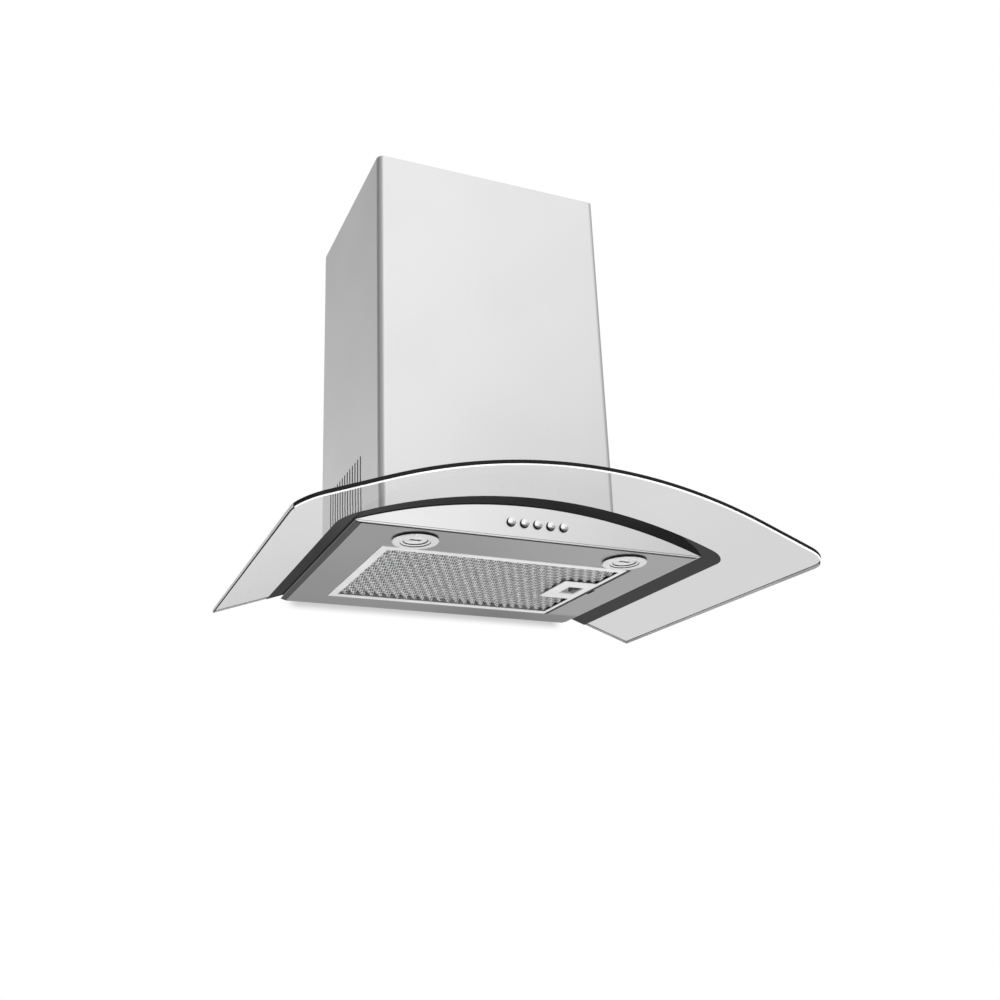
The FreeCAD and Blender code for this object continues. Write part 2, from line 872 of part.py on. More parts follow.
def clamp_screw_places():
    rise = clamp_wall + clamp_height / 2
    grip = clamp_wall + sheet
    places = []
    for distance in clamp_rows:
        places += both_sides(casing_half + clamp_wall, -distance, clamp_level() + rise, grip)
    front = V(0, casing_front - clamp_wall, bent_level(0, glass_thickness) + clamp_pad + rise)
    places.append((front, V(0, 1, 0), grip))
    return places


def clamps_and_pads():
    clamps, pads = [], []
    for distance in clamp_rows:
        clamp, pad = side_clamp(distance)
        clamps += [clamp, mirrored(clamp)]
        pads += [pad, mirrored(pad)]
    clamp, pad = front_clamp()
    clamps.append(clamp)
    pads.append(pad)
    return clamps, pads


def glass_clamps():
    return drilled(Part.makeCompound(clamps_and_pads()[0]), clamp_screw_places())


def clamp_pads():
    return clamps_and_pads()[1]


def clamp_screws():
    return screws(clamp_screw_places())


# ---- chimney sleeves

def sleeve(half, front, rear, corner, back_flange, z0, z1):
    # a sheet folded to a U, with two narrow flanges turned inwards along the wall
    outer = box(-half, half, front, rear, z0, z1)
    outer = upright_fillet(outer, corner, lambda p: p.y < (front + rear) / 2)
    inner = box(-half + sheet, half - sheet, front + sheet, rear - sheet,
                z0 - past, z1 + past)
    inner = upright_fillet(inner, corner - sheet, lambda p: p.y < (front + rear) / 2)
    gap = box(-half + back_flange, half - back_flange, rear - 2 * sheet, rear + past,
              z0 - past, z1 + past)
    return outer.cut(inner).cut(gap)


def vent(y):
    half = chimney_width / 2 + past
    return box(-half, half, y - vent_width / 2, y + vent_width / 2, vent_top - vent_height, vent_top)


def chimney_outer():
    lowest = bent_level(chimney_width / 2, 0)
    shape = sleeve(chimney_width / 2, -chimney_depth, 0, chimney_corner, chimney_return,
                   lowest, chimney_top)
    shape = shape.cut(below_layer(glass_thickness + glass_stand_off))
    for i in range(vent_count):
        shape = shape.cut(vent(-vent_first - i * vent_pitch))
    return shape


def inner_half():
    return chimney_width / 2 - sheet - inner_gap


def inner_rear():
    return -sheet - inner_gap


def chimney_inner():
    step = sheet + inner_gap
    shape = sleeve(inner_half(), -chimney_depth + step, inner_rear(), chimney_corner - step,
                   inner_return, inner_bottom, chimney_top - inner_top_gap)
    return drilled(shape, bracket_screw_places())


def chimney_rests():
    # two angles on the casing's sides, on which the inner sleeve stands when it is down
    top = inner_bottom - rest_gap
    y0 = casing_mid - rest_length / 2
    y1 = casing_mid + rest_length / 2
    foot = box(casing_half, inner_half(), y0, y1, top - rest_wall, top)
    leg = box(casing_half, casing_half + rest_wall, y0, y1, top - rest_leg, top)
    angle = foot.fuse(leg).removeSplitter()
    return drilled(Part.makeCompound([angle, mirrored(angle)]), rest_screw_places())


def rest_screw_places():
    z = inner_bottom - rest_gap - (rest_leg + rest_wall) / 2
    return both_sides(casing_half + rest_wall, casing_mid, z, rest_wall + sheet)


def rest_screws():
    return screws(rest_screw_places())


def bracket_top():
    return chimney_top - inner_top_gap - bracket_drop


def ceiling_bracket():
    half = inner_half() - sheet
    rear = inner_rear() - sheet
    z1 = bracket_top()
    z0 = z1 - bracket_height
    outer = box(-half, half, rear - bracket_ear, rear, z0, z1)
    inner = box(-half + bracket_wall, half - bracket_wall, -far, rear - bracket_wall, -far, far)
    shape = outer.cut(inner)
    for x in (-bracket_hole_spacing / 2, bracket_hole_spacing / 2):
        shape = shape.cut(rod_y(bracket_hole_radius, x, (z0 + z1) / 2, -far, far))
    return drilled(shape, bracket_screw_places())


def bracket_screw_places():
    # screwed from inside; the thread ends flush with the sleeve, clear of the outer one
    z = bracket_top() - bracket_height / 2
    y = inner_rear() - sheet - bracket_screw_y
    return both_sides(inner_half() - sheet - bracket_wall, y, z, bracket_wall + sheet - screw_tail, 1)


def bracket_screws():
    return screws(bracket_screw_places())


# ---- blower

def scroll_face(grow):
    # four-arc volute with a flared mouth; grow is the wall added outside the air's space
    start = impeller_radius + cutoff_gap + grow
    radii = [start + scroll_growth * i for i in range(3)]
    c1 = V(fan_x, 0, fan_z)
    c2 = c1 + V(scroll_growth, 0, 0)
    c3 = c2 + V(0, 0, scroll_growth)
    angle = math.radians(tongue_angle)
    tongue = c1 + V(math.cos(angle), 0, math.sin(angle)) * start
    half_way = math.radians((tongue_angle + 180) / 2)
    over_top = c1 + V(math.cos(half_way), 0, math.sin(half_way)) * start
    left = c1 + V(-radii[0], 0, 0)
    bottom = c2 + V(0, 0, -radii[1])
    right = c3 + V(radii[2], 0, 0)
    slant = math.sqrt(0.5)
    low_left = c2 + V(-slant, 0, -slant) * radii[1]
    low_right = c3 + V(slant, 0, -slant) * radii[2]
    mouth_right = V(mouth_half + grow, 0, casing_top)
    mouth_left = V(-mouth_half - grow, 0, casing_top)
    wire = Part.Wire([
        Part.Arc(tongue, over_top, left).toShape(),
        Part.Arc(left, low_left, bottom).toShape(),
        Part.Arc(bottom, low_right, right).toShape(),
        Part.makeLine(right, mouth_right),
        Part.makeLine(mouth_right, mouth_left),
        Part.makeLine(mouth_left, tongue),
    ])
    return Part.Face(wire)


def blower_housing():
    outer = scroll_face(fan_wall)
    outer.translate(V(0, fan_front, 0))
    shape = outer.extrude(V(0, fan_depth, 0))
    air = scroll_face(0)
    air.translate(V(0, fan_front + fan_wall, 0))
    shape = shape.cut(air.extrude(V(0, fan_depth - 2 * fan_wall, 0)))
    half = mouth_half + fan_wall
    rim = box(-half - mouth_flange, half + mouth_flange, fan_front - mouth_flange,
              fan_back + mouth_flange, casing_top - fan_wall, casing_top)
    mouth = box(-mouth_half, mouth_half, fan_front + fan_wall, fan_back - fan_wall,
                casing_top - fan_wall - past, far)
    shape = shape.fuse(rim).cut(mouth)
    shape = shape.cut(rod_y(inlet_radius + fan_wall, fan_x, fan_z, fan_front - past, fan_front + fan_wall))
    shape = shape.cut(rod_y(motor_nose_radius + nose_hole_gap, fan_x, fan_z, fan_back - fan_wall, far))
    return drilled(shape.removeSplitter(), motor_screw_places() + collar_screw_places())


def about_fan(shape):
    # a solid made about the Z axis, turned so that its +Z points at the wall
    shape.rotate(V(0, 0, 0), V(1, 0, 0), -90)
    shape.translate(V(fan_x, 0, fan_z))
    return shape


def inlet_ring():
    # a bell mouth in the housing's front plate
    y = fan_front
    throat = inlet_radius
    outer = throat + fan_wall
    back = y + fan_wall + inlet_depth
    profile = [
        (throat, back), (throat, y + fan_wall), (throat + inlet_flare, y - inlet_flare),
        (throat + inlet_flare + inlet_lip, y - inlet_flare), (outer + inlet_flare, y), (outer, y),
        (outer, back),
    ]
    return about_fan(turned(profile, 0, 0))


def impeller_back():
    return fan_back - fan_wall - impeller_gap


def impeller_front():
    return impeller_back() - impeller_length


def blade():
    # one forward-curved blade, drawn across the fan's axis
    inner = impeller_radius - blade_ring
    outer = impeller_radius - blade_inset
    lean = math.radians(blade_sweep)
    root = V(inner, 0, 0)
    tip = V(outer * math.cos(lean), outer * math.sin(lean), 0)
    along = (tip - root).normalize()
    across = V(-along.y, along.x, 0)
    mid = (root + tip) * 0.5 - across * blade_hollow
    back = across * blade_wall
    wire = Part.Wire([
        Part.Arc(root, mid, tip).toShape(),
        Part.makeLine(tip, tip + back),
        Part.Arc(tip + back, mid + back, root + back).toShape(),
        Part.makeLine(root + back, root),
    ])
    solid = Part.Face(wire).extrude(V(0, 0, impeller_length - 2 * impeller_disc))
    solid.translate(V(0, 0, impeller_disc))
    return solid


def impeller():
    disc = Part.makeCylinder(impeller_radius, impeller_disc, V(0, 0, impeller_length - impeller_disc))
    hub = Part.makeCylinder(hub_radius, hub_length, V(0, 0, impeller_length - hub_length))
    rim = Part.makeCylinder(impeller_radius, impeller_disc)
    rim = rim.cut(Part.makeCylinder(impeller_radius - rim_width, impeller_disc))
    blades = []
    for i in range(blade_count):
        copy = blade()
        copy.rotate(V(0, 0, 0), V(0, 0, 1), 360.0 * i / blade_count)
        blades.append(copy)
    wheel = disc.multiFuse([hub, rim] + blades)
    wheel = wheel.cut(Part.makeCylinder(shaft_radius, impeller_length)).removeSplitter()
    wheel = about_fan(wheel)
    wheel.translate(V(0, impeller_front(), 0))
    return wheel


def motor_front():
    return fan_back + arm_wall


def motor_shaft():
    y0 = impeller_back() - hub_length - shaft_proud
    return rod_y(shaft_radius, fan_x, fan_z, y0, motor_front() + shaft_seat)


def motor():
    # a flanged can whose nose passes through the housing's back plate
    y = motor_front()
    end = y + motor_length
    nose = impeller_back() + nose_gap
    bore = shaft_radius + bearing_clearance
    rear = end - motor_cap_height
    floor = y + shaft_seat + shaft_end_gap
    profile = [
        (bore, nose), (motor_nose_radius - motor_nose_round, nose),
        (motor_nose_radius, nose + motor_nose_round), (motor_nose_radius, y),
        (motor_radius - motor_taper, y), (motor_radius, y + motor_taper),
        (motor_radius, rear - motor_cap_round), (motor_radius - motor_cap_round, rear),
        (motor_cap_radius, rear), (motor_cap_radius - motor_cap_taper, end), (0, end),
        (0, floor), (bore, floor),
    ]
    return about_fan(turned(profile, 0, 0))


def motor_screw_places():
    places = []
    for i in range(arm_count):
        angle = math.radians(90 + 360.0 * i / arm_count)
        x = fan_x + arm_circle * math.cos(angle)
        z = fan_z + arm_circle * math.sin(angle)
        places.append((V(x, fan_back + arm_wall, z), V(0, -1, 0), arm_wall + fan_wall))
    return places


def motor_bracket():
    # a ring round the motor's nose, with three arms screwed to the housing's back plate
    ring = Part.makeCylinder(motor_radius - motor_taper, arm_wall)
    ring = ring.cut(Part.makeCylinder(motor_nose_radius + screw_clearance, arm_wall))
    for i in range(arm_count):
        arm = box(motor_nose_radius + motor_taper, arm_circle, -arm_width / 2, arm_width / 2, 0, arm_wall)
        arm = arm.fuse(Part.makeCylinder(arm_width / 2, arm_wall, V(arm_circle, 0, 0)))
        arm.rotate(V(0, 0, 0), V(0, 0, 1), -90 - 360.0 * i / arm_count)
        ring = ring.fuse(arm)
    shape = about_fan(ring.removeSplitter())
    shape.translate(V(0, fan_back, 0))
    return drilled(shape, motor_screw_places())


def motor_screws():
    return screws(motor_screw_places())


# ---- outlet collar and flaps

def outlet_collar():
    z1 = lid_top + collar_height
    flange_top = lid_top + collar_flange_wall
    flange_edge = duct_radius + collar_flange
    ledge = flange_top + ledge_level
    ledge_top = ledge + ledge_height
    bore = collar_bore
    ledge_bore = bore - ledge_width
    profile = [
        (bore, lid_top), (flange_edge, lid_top), (flange_edge, flange_top), (duct_radius, flange_top),
        (duct_radius, z1), (bore, z1), (bore, ledge_top), (ledge_bore, ledge_top),
        (ledge_bore, ledge), (bore, ledge),
    ]
    shape = turned(profile, 0, casing_mid)
    for sign in (-1, 1):
        shape = shape.fuse(flap_lug_block(sign))
    reach = lug_face() + pin_length()
    for x in (-flap_pin_x, flap_pin_x):
        shape = shape.cut(rod_y(flap_pin_radius + flap_pin_clearance, x, pin_level(),
                                casing_mid - reach, casing_mid + reach))
    return drilled(shape.removeSplitter(), collar_screw_places())


def lug_face():
    # distance from the collar's centre to the lugs' inner faces
    return math.sqrt(collar_bore ** 2 - (2 * flap_pin_x) ** 2) - flap_lug


def pin_length():
    return flap_lug - pin_floor


def pin_level():
    return flap_level + flap_wall / 2


def flap_lug_block(sign):
    # a block on the bore's wall that holds one end of both pins
    near = lug_face()
    outer = collar_bore + lug_root
    y0, y1 = sorted((casing_mid + sign * near, casing_mid + sign * outer))
    rise = flap_pin_radius + lug_wall
    block = box(-2 * flap_pin_x, 2 * flap_pin_x, y0, y1, pin_level() - rise, pin_level() + rise)
    return block.common(rod_z(outer, 0, casing_mid, 0, far))


def damper_flap():
    # the right flap: a half disc on a barrel, with a stub pin at each end
    radius = collar_bore - flap_gap
    z0 = flap_level
    disc = rod_z(radius, 0, casing_mid, z0, z0 + flap_wall)
    keep = box(flap_pin_x, far, -far, far, -far, far)
    half = disc.common(keep)
    reach = lug_face() - flap_gap
    lug_corner = flap_pin_x + math.hypot(flap_pin_x, flap_pin_radius + lug_wall)
    for y0, y1 in ((casing_mid + reach, far), (-far, casing_mid - reach)):
        half = half.cut(box(-far, lug_corner + flap_gap, y0, y1, -far, far))
    barrel = rod_y(flap_pin_radius + flap_barrel_wall, flap_pin_x, pin_level(),
                   casing_mid - reach, casing_mid + reach)
    pin_end = lug_face() + pin_length() - pin_end_gap
    pins = rod_y(flap_pin_radius, flap_pin_x, pin_level(), casing_mid - pin_end, casing_mid + pin_end)
    return half.fuse(barrel).fuse(pins).removeSplitter()


def collar_screw_places():
    # through the collar's flange, the lid and the blower's rim
    circle = duct_radius + collar_flange / 2
    places = []
    for i in range(collar_screw_count):
        angle = math.radians(45 + 360.0 * i / collar_screw_count)
        start = V(circle * math.cos(angle), casing_mid + circle * math.sin(angle),
                  lid_top + collar_flange_wall)
        places.append((start, V(0, 0, -1), collar_flange_wall + lid_thickness + fan_wall))
    return places


def collar_screws():
    return screws(collar_screw_places())


# ---- electrics on the lid

def box_x():
    return casing_half - box_edge_gap - box_width


def terminal_box():
    x0 = box_x()
    y1 = casing_mid + box_depth / 2
    y0 = y1 - box_depth
    outer = rounded_box(x0, x0 + box_width, y0, y1, lid_top, lid_top + box_height,
                        box_corner)
    inner = box(x0 + box_wall, x0 + box_width - box_wall, y0 + box_wall, y1 - box_wall,
                lid_top + box_wall, far)
    hole = rod_y(gland_bore + gland_wall, x0 + box_width / 2, lid_top + gland_level, casing_mid, far)
    return outer.cut(inner).cut(hole)


def terminal_lid():
    x0 = box_x()
    y1 = casing_mid + box_depth / 2
    z = lid_top + box_height
    return rounded_box(x0, x0 + box_width, y1 - box_depth, y1, z, z + box_lid, box_corner)


def terminal_strip():
    # three-way block on the box's floor
    x = box_x() + box_width / 2
    z = lid_top + box_wall
    wide = strip_width / 2
    deep = strip_length / 2
    block = box(x - wide, x + wide, casing_mid - deep, casing_mid + deep, z, z + strip_height)
    first = casing_mid - strip_pitch * (strip_ways - 1) / 2
    for i in range(strip_ways):
        block = block.cut(rod_z(strip_hole, x, first + i * strip_pitch, z + strip_floor, far))
    return block


def cable_gland():
    x = box_x() + box_width / 2
    z = lid_top + gland_level
    y = casing_mid + box_depth / 2
    seat = y + gland_flange
    neck = rod_y(gland_bore + gland_wall, x, z, y - box_wall, y)
    flange = rod_y(gland_radius, x, z, y, seat)
    nut = Part.makeCone(gland_radius, gland_radius - gland_taper, gland_length - gland_flange,
                        V(x, seat, z), V(0, 1, 0))
    shape = neck.fuse(flange).fuse(nut)
    return shape.cut(rod_y(gland_bore, x, z, casing_mid, far)).removeSplitter()


def capacitor():
    can = rod_z(capacitor_radius, capacitor_x, capacitor_y, lid_top, lid_top + capacitor_height)
    top = lid_top + capacitor_height
    can = can.makeChamfer(capacitor_chamfer, [e for e in can.Edges if e.BoundBox.ZMin > top - past])
    wide = capacitor_tag_width / 2
    thick = spade_wall / 2
    for x in (capacitor_x - capacitor_tag_spacing / 2, capacitor_x + capacitor_tag_spacing / 2):
        can = can.fuse(box(x - thick, x + thick, capacitor_y - wide, capacitor_y + wide,
                           top - capacitor_tag_root, top + capacitor_tag_height))
    return can


def capacitor_clip():
    # a strap round the can, with an ear that stands on the lid
    outer = rod_z(capacitor_radius + clip_wall, capacitor_x, capacitor_y, lid_top, lid_top + clip_height)
    wide = clip_ear_width / 2
    near = capacitor_y - capacitor_radius
    ear = box(capacitor_x - wide, capacitor_x + wide, near - clip_ear_length, near,
              lid_top, lid_top + clip_wall)
    return outer.fuse(ear).cut(rod_z(capacitor_radius, capacitor_x, capacitor_y, 0, far)).removeSplitter()


# ---- write every piece

def save(name, shape):
    if isinstance(shape, list):
        shape = Part.makeCompound(shape)
    shape.translate(V(0, 0, -hang_height))
    shape.exportStep(os.path.join("parts", name + ".step"))
    print(name, "solids", len(shape.Solids), "valid", shape.isValid(), "volume", round(shape.Volume))


def save_pair(name, left):
    right = mirrored(left)
    save(name + "_left", left)
    save(name + "_right", right)


def main():
    os.makedirs("parts", exist_ok=True)
    for make in (glass_canopy, glass_border, canopy_seal, fascia, body_top, rear_wall, bottom_panel,
                 filter_frame, filter_mesh, filter_tabs, latch_plate, latch_slider, switch_block,
                 switch_terminals, hanging_plate, inner_casing, casing_lid, chimney_outer, chimney_inner,
                 chimney_rests, rest_screws, ceiling_bracket, bracket_screws, blower_housing, inlet_ring,
                 impeller, motor_shaft, motor, motor_bracket, motor_screws, outlet_collar, collar_screws,
                 terminal_box, terminal_lid, terminal_strip, cable_gland, capacitor, capacitor_clip,
                 glass_clamps, clamp_pads, clamp_screws):
        save(make.__name__, make())
    save_pair("lamp_bezel", lamp_bezel())
    save_pair("lamp_lens", lamp_lens())
    save_pair("lamp_cup", lamp_cup())
    save_pair("lamp_bulb", lamp_bulb())
    for number, x in enumerate(button_places(), 1):
        save("button_%d" % number, push_button(x))
    right_flap = damper_flap()
    left_flap = mirrored(right_flap)
    save("flap_right", right_flap)
    save("flap_left", left_flap)


main()
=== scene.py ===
import math
import random
import bmesh
import bpy
from mathutils import Matrix, Vector


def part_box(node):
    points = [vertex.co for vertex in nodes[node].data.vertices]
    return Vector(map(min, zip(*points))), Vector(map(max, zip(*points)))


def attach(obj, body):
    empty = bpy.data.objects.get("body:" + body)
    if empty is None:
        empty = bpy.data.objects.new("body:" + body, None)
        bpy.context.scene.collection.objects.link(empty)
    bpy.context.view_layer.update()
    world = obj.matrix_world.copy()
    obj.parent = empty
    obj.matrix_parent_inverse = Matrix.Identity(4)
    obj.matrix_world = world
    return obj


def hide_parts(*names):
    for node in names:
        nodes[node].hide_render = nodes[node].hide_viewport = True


# Curved glass range hood: looks, light and camera round the fixed frame. Lengths are metres.
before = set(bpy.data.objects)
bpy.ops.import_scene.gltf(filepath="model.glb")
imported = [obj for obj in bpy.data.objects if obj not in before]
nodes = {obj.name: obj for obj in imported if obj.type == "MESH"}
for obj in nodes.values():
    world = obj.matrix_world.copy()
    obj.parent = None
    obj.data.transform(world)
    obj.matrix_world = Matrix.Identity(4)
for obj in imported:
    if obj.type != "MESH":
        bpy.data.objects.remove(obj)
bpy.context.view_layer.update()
mm = 0.001
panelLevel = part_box("bottom_panel")[0].z        # underside of the steel panel
print("frame loaded:", len(nodes), "pieces")


# camera, at the place and angle that the photograph was taken from
cameraView = {
    "place": (-0.51711, -1.31475, -0.68531),
    "yaw": 20.284,              # degrees to the right of straight at the wall
    "pitch": 17.896,            # degrees upwards
    "roll": 0.664,
    "focal": 1057.4,            # pixels, in a frame of 1000 by 1000
    "centre": (407.6, 546.5),   # pixel that the lens points at
    "frame": 1000.0,
}


def makeCamera(view):
    yaw, pitch, roll = (math.radians(view[k]) for k in ("yaw", "pitch", "roll"))
    ahead = Vector((math.sin(yaw) * math.cos(pitch), math.cos(yaw) * math.cos(pitch), math.sin(pitch)))
    level = Vector((math.cos(yaw), -math.sin(yaw), 0))
    down = ahead.cross(level)
    right = math.cos(roll) * level + math.sin(roll) * down
    up = -ahead.cross(right)
    turn = Matrix((right, up, -ahead)).transposed().to_4x4()
    data = bpy.data.cameras.new("photoCamera")
    data.sensor_width = 36
    data.lens = view["focal"] / view["frame"] * data.sensor_width
    data.shift_x = 0.5 - view["centre"][0] / view["frame"]
    data.shift_y = view["centre"][1] / view["frame"] - 0.5
    camera = bpy.data.objects.new("photoCamera", data)
    camera.matrix_world = Matrix.Translation(view["place"]) @ turn
    bpy.context.scene.collection.objects.link(camera)
    bpy.context.scene.camera = camera


makeCamera(cameraView)
bpy.context.scene.view_settings.view_transform = "Standard"
print("camera set")


# helpers for node trees
def setInputs(tree, node, inputs):
    for key, value in inputs.items():
        socket = node.inputs[key]
        if hasattr(value, "is_output"):
            tree.links.new(value, socket)
        else:
            socket.default_value = value


def addNode(tree, kind, inputs=None, **settings):
    node = tree.nodes.new(kind)
    for key, value in settings.items():
        setattr(node, key, value)
    setInputs(tree, node, inputs or {})
    return node


def mathNode(tree, operation, a, b=0.0):
    return addNode(tree, "ShaderNodeMath", {0: a, 1: b}, operation=operation).outputs[0]


def vectorNode(tree, operation, a, b):
    return addNode(tree, "ShaderNodeVectorMath", {0: a, 1: b}, operation=operation).outputs[0]


def dotNode(tree, a, b):
    return addNode(tree, "ShaderNodeVectorMath", {0: a, 1: b}, operation="DOT_PRODUCT").outputs["Value"]


def rangeNode(tree, value, low, high, toLow=0.0, toHigh=1.0, smooth=False):
    kind = "SMOOTHSTEP" if smooth else "LINEAR"
    inputs = {"Value": value, "From Min": low, "From Max": high, "To Min": toLow, "To Max": toHigh}
    return addNode(tree, "ShaderNodeMapRange", inputs, interpolation_type=kind).outputs["Result"]


def axesOf(tree, vector):
    return addNode(tree, "ShaderNodeSeparateXYZ", {0: vector}).outputs


def product(tree, *values):
    total = values[0]
    for value in values[1:]:
        total = mathNode(tree, "MULTIPLY", total, value)
    return total


def mixColour(tree, mask, first, second):
    inputs = {"Factor": mask, 6: first, 7: second}
    return addNode(tree, "ShaderNodeMix", inputs, data_type="RGBA").outputs[2]


def mixValue(tree, mask, first, second):
    return addNode(tree, "ShaderNodeMix", {0: mask, 2: first, 3: second}, data_type="FLOAT").outputs[0]


def grey(level, warm=0.0):
    return (level + warm, level, level - warm, 1)


def newGroup(name, inputs, outputs):
    tree = bpy.data.node_groups.new(name, "ShaderNodeTree")
    for label, kind, value in inputs:
        socket = tree.interface.new_socket(label, in_out="INPUT", socket_type="NodeSocket" + kind)
        socket.default_value = value
    for label, kind in outputs:
        tree.interface.new_socket(label, in_out="OUTPUT", socket_type="NodeSocket" + kind)
    start = tree.nodes.new("NodeGroupInput")
    end = tree.nodes.new("NodeGroupOutput")
    return tree, start.outputs, end.inputs


def useGroup(tree, group, **inputs):
    node = tree.nodes.new("ShaderNodeGroup")
    node.node_tree = group
    setInputs(tree, node, inputs)
    return node.outputs


# effects that several finishes share
def brushGroup():
    # lines of a belt sander: noise drawn out along one axis, and broad faint streaks
    tree, given, made = newGroup(
        "brushLines",
        [("Place", "Vector", (0, 0, 0)), ("Stretch", "Vector", (1, 1, 1)), ("Streak", "Float", 0.35)],
        [("Lines", "Float"), ("Cloud", "Float")])
    drawn = vectorNode(tree, "MULTIPLY", given["Place"], given["Stretch"])
    fine = addNode(tree, "ShaderNodeTexNoise", {"Vector": drawn, "Scale": 1.0, "Detail": 3.0})
    broad = addNode(tree, "ShaderNodeTexNoise", {"Vector": drawn, "Scale": 0.12, "Detail": 2.0})
    cloud = addNode(tree, "ShaderNodeTexNoise", {"Vector": given["Place"], "Scale": 7.0, "Detail": 3.0})
    lines = mixValue(tree, given["Streak"], fine.outputs[0], broad.outputs[0])
    tree.links.new(rangeNode(tree, lines, 0.3, 0.7), made["Lines"])
    tree.links.new(rangeNode(tree, cloud.outputs[0], 0.35, 0.65, smooth=True), made["Cloud"])
    return tree


def grainGroup():
    # the fine pitted skin of a moulded or fired surface
    tree, given, made = newGroup(
        "mouldGrain", [("Place", "Vector", (0, 0, 0)), ("Size", "Float", 0.6 * mm)],
        [("Height", "Float"), ("Cloud", "Float")])
    scale = mathNode(tree, "DIVIDE", 1.0, given["Size"])
    pits = addNode(tree, "ShaderNodeTexNoise", {"Vector": given["Place"], "Scale": scale, "Detail": 2.0})
    cloud = addNode(tree, "ShaderNodeTexNoise", {"Vector": given["Place"], "Scale": 18.0, "Detail": 4.0})
    tree.links.new(pits.outputs[0], made["Height"])
    tree.links.new(rangeNode(tree, cloud.outputs[0], 0.35, 0.65, smooth=True), made["Cloud"])
    return tree


def spangleGroup():
    # the crystal flowers of hot-dip zinc
    tree, given, made = newGroup(
        "zincSpangle", [("Place", "Vector", (0, 0, 0)), ("Size", "Float", 7 * mm)],
        [("Flower", "Float"), ("Height", "Float")])
    scale = mathNode(tree, "DIVIDE", 1.0, given["Size"])
    warp = addNode(tree, "ShaderNodeTexNoise", {"Vector": given["Place"], "Scale": 90.0, "Detail": 2.0})
    shift = vectorNode(tree, "SUBTRACT", warp.outputs[1], (0.5, 0.5, 0.5))
    small = addNode(tree, "ShaderNodeVectorMath", {0: shift, "Scale": 5 * mm}, operation="SCALE")
    place = vectorNode(tree, "ADD", given["Place"], small.outputs[0])
    cells = addNode(tree, "ShaderNodeTexVoronoi", {"Vector": place, "Scale": scale})
    pick = addNode(tree, "ShaderNodeSeparateColor", {0: cells.outputs["Color"]})
    tree.links.new(pick.outputs[0], made["Flower"])
    tree.links.new(pick.outputs[1], made["Height"])
    return tree


def uprightGroup():
    # 1 on upright faces, 0 on level ones
    tree, given, made = newGroup(
        "uprightFaces", [("Normal", "Vector", (0, 0, 1)), ("Limit", "Float", 0.5)], [("Upright", "Float")])
    size = mathNode(tree, "ABSOLUTE", axesOf(tree, given["Normal"])[2])
    tree.links.new(mathNode(tree, "LESS_THAN", size, given["Limit"]), made["Upright"])
    return tree


def inwardGroup():
    # 1 on faces that look towards the upright axis through Centre
    tree, given, made = newGroup(
        "inwardFaces",
        [("Place", "Vector", (0, 0, 0)), ("Normal", "Vector", (0, 0, 1)), ("Centre", "Vector", (0, 0, 0))],
        [("Inward", "Float")])
    away = vectorNode(tree, "SUBTRACT", given["Place"], given["Centre"])
    outward = dotNode(tree, vectorNode(tree, "MULTIPLY", away, (1, 1, 0)), given["Normal"])
    tree.links.new(mathNode(tree, "LESS_THAN", outward, 0.0), made["Inward"])
    return tree


brushLines = brushGroup()
inwardFaces = inwardGroup()
mouldGrain = grainGroup()
zincSpangle = spangleGroup()
uprightFaces = uprightGroup()


# finishes
def bareMaterial(name):
    material = bpy.data.materials.new(name)
    material.use_nodes = True
    tree = material.node_tree
    tree.nodes.clear()
    return material, tree, tree.nodes.new("ShaderNodeOutputMaterial")


def newFinish(name, plain):
    material, tree, end = bareMaterial(name)
    skin = addNode(tree, "ShaderNodeBsdfPrincipled", plain)
    tree.links.new(skin.outputs[0], end.inputs[0])
    place = addNode(tree, "ShaderNodeTexCoord").outputs["Object"]
    return material, tree, skin, place


def faceNormal(tree):
    return addNode(tree, "ShaderNodeTexCoord").outputs["Normal"]


def addBump(tree, skin, height, depth, strength=1.0):
    bump = addNode(tree, "ShaderNodeBump", {"Height": height, "Distance": depth, "Strength": strength})
    tree.links.new(bump.outputs[0], skin.inputs["Normal"])


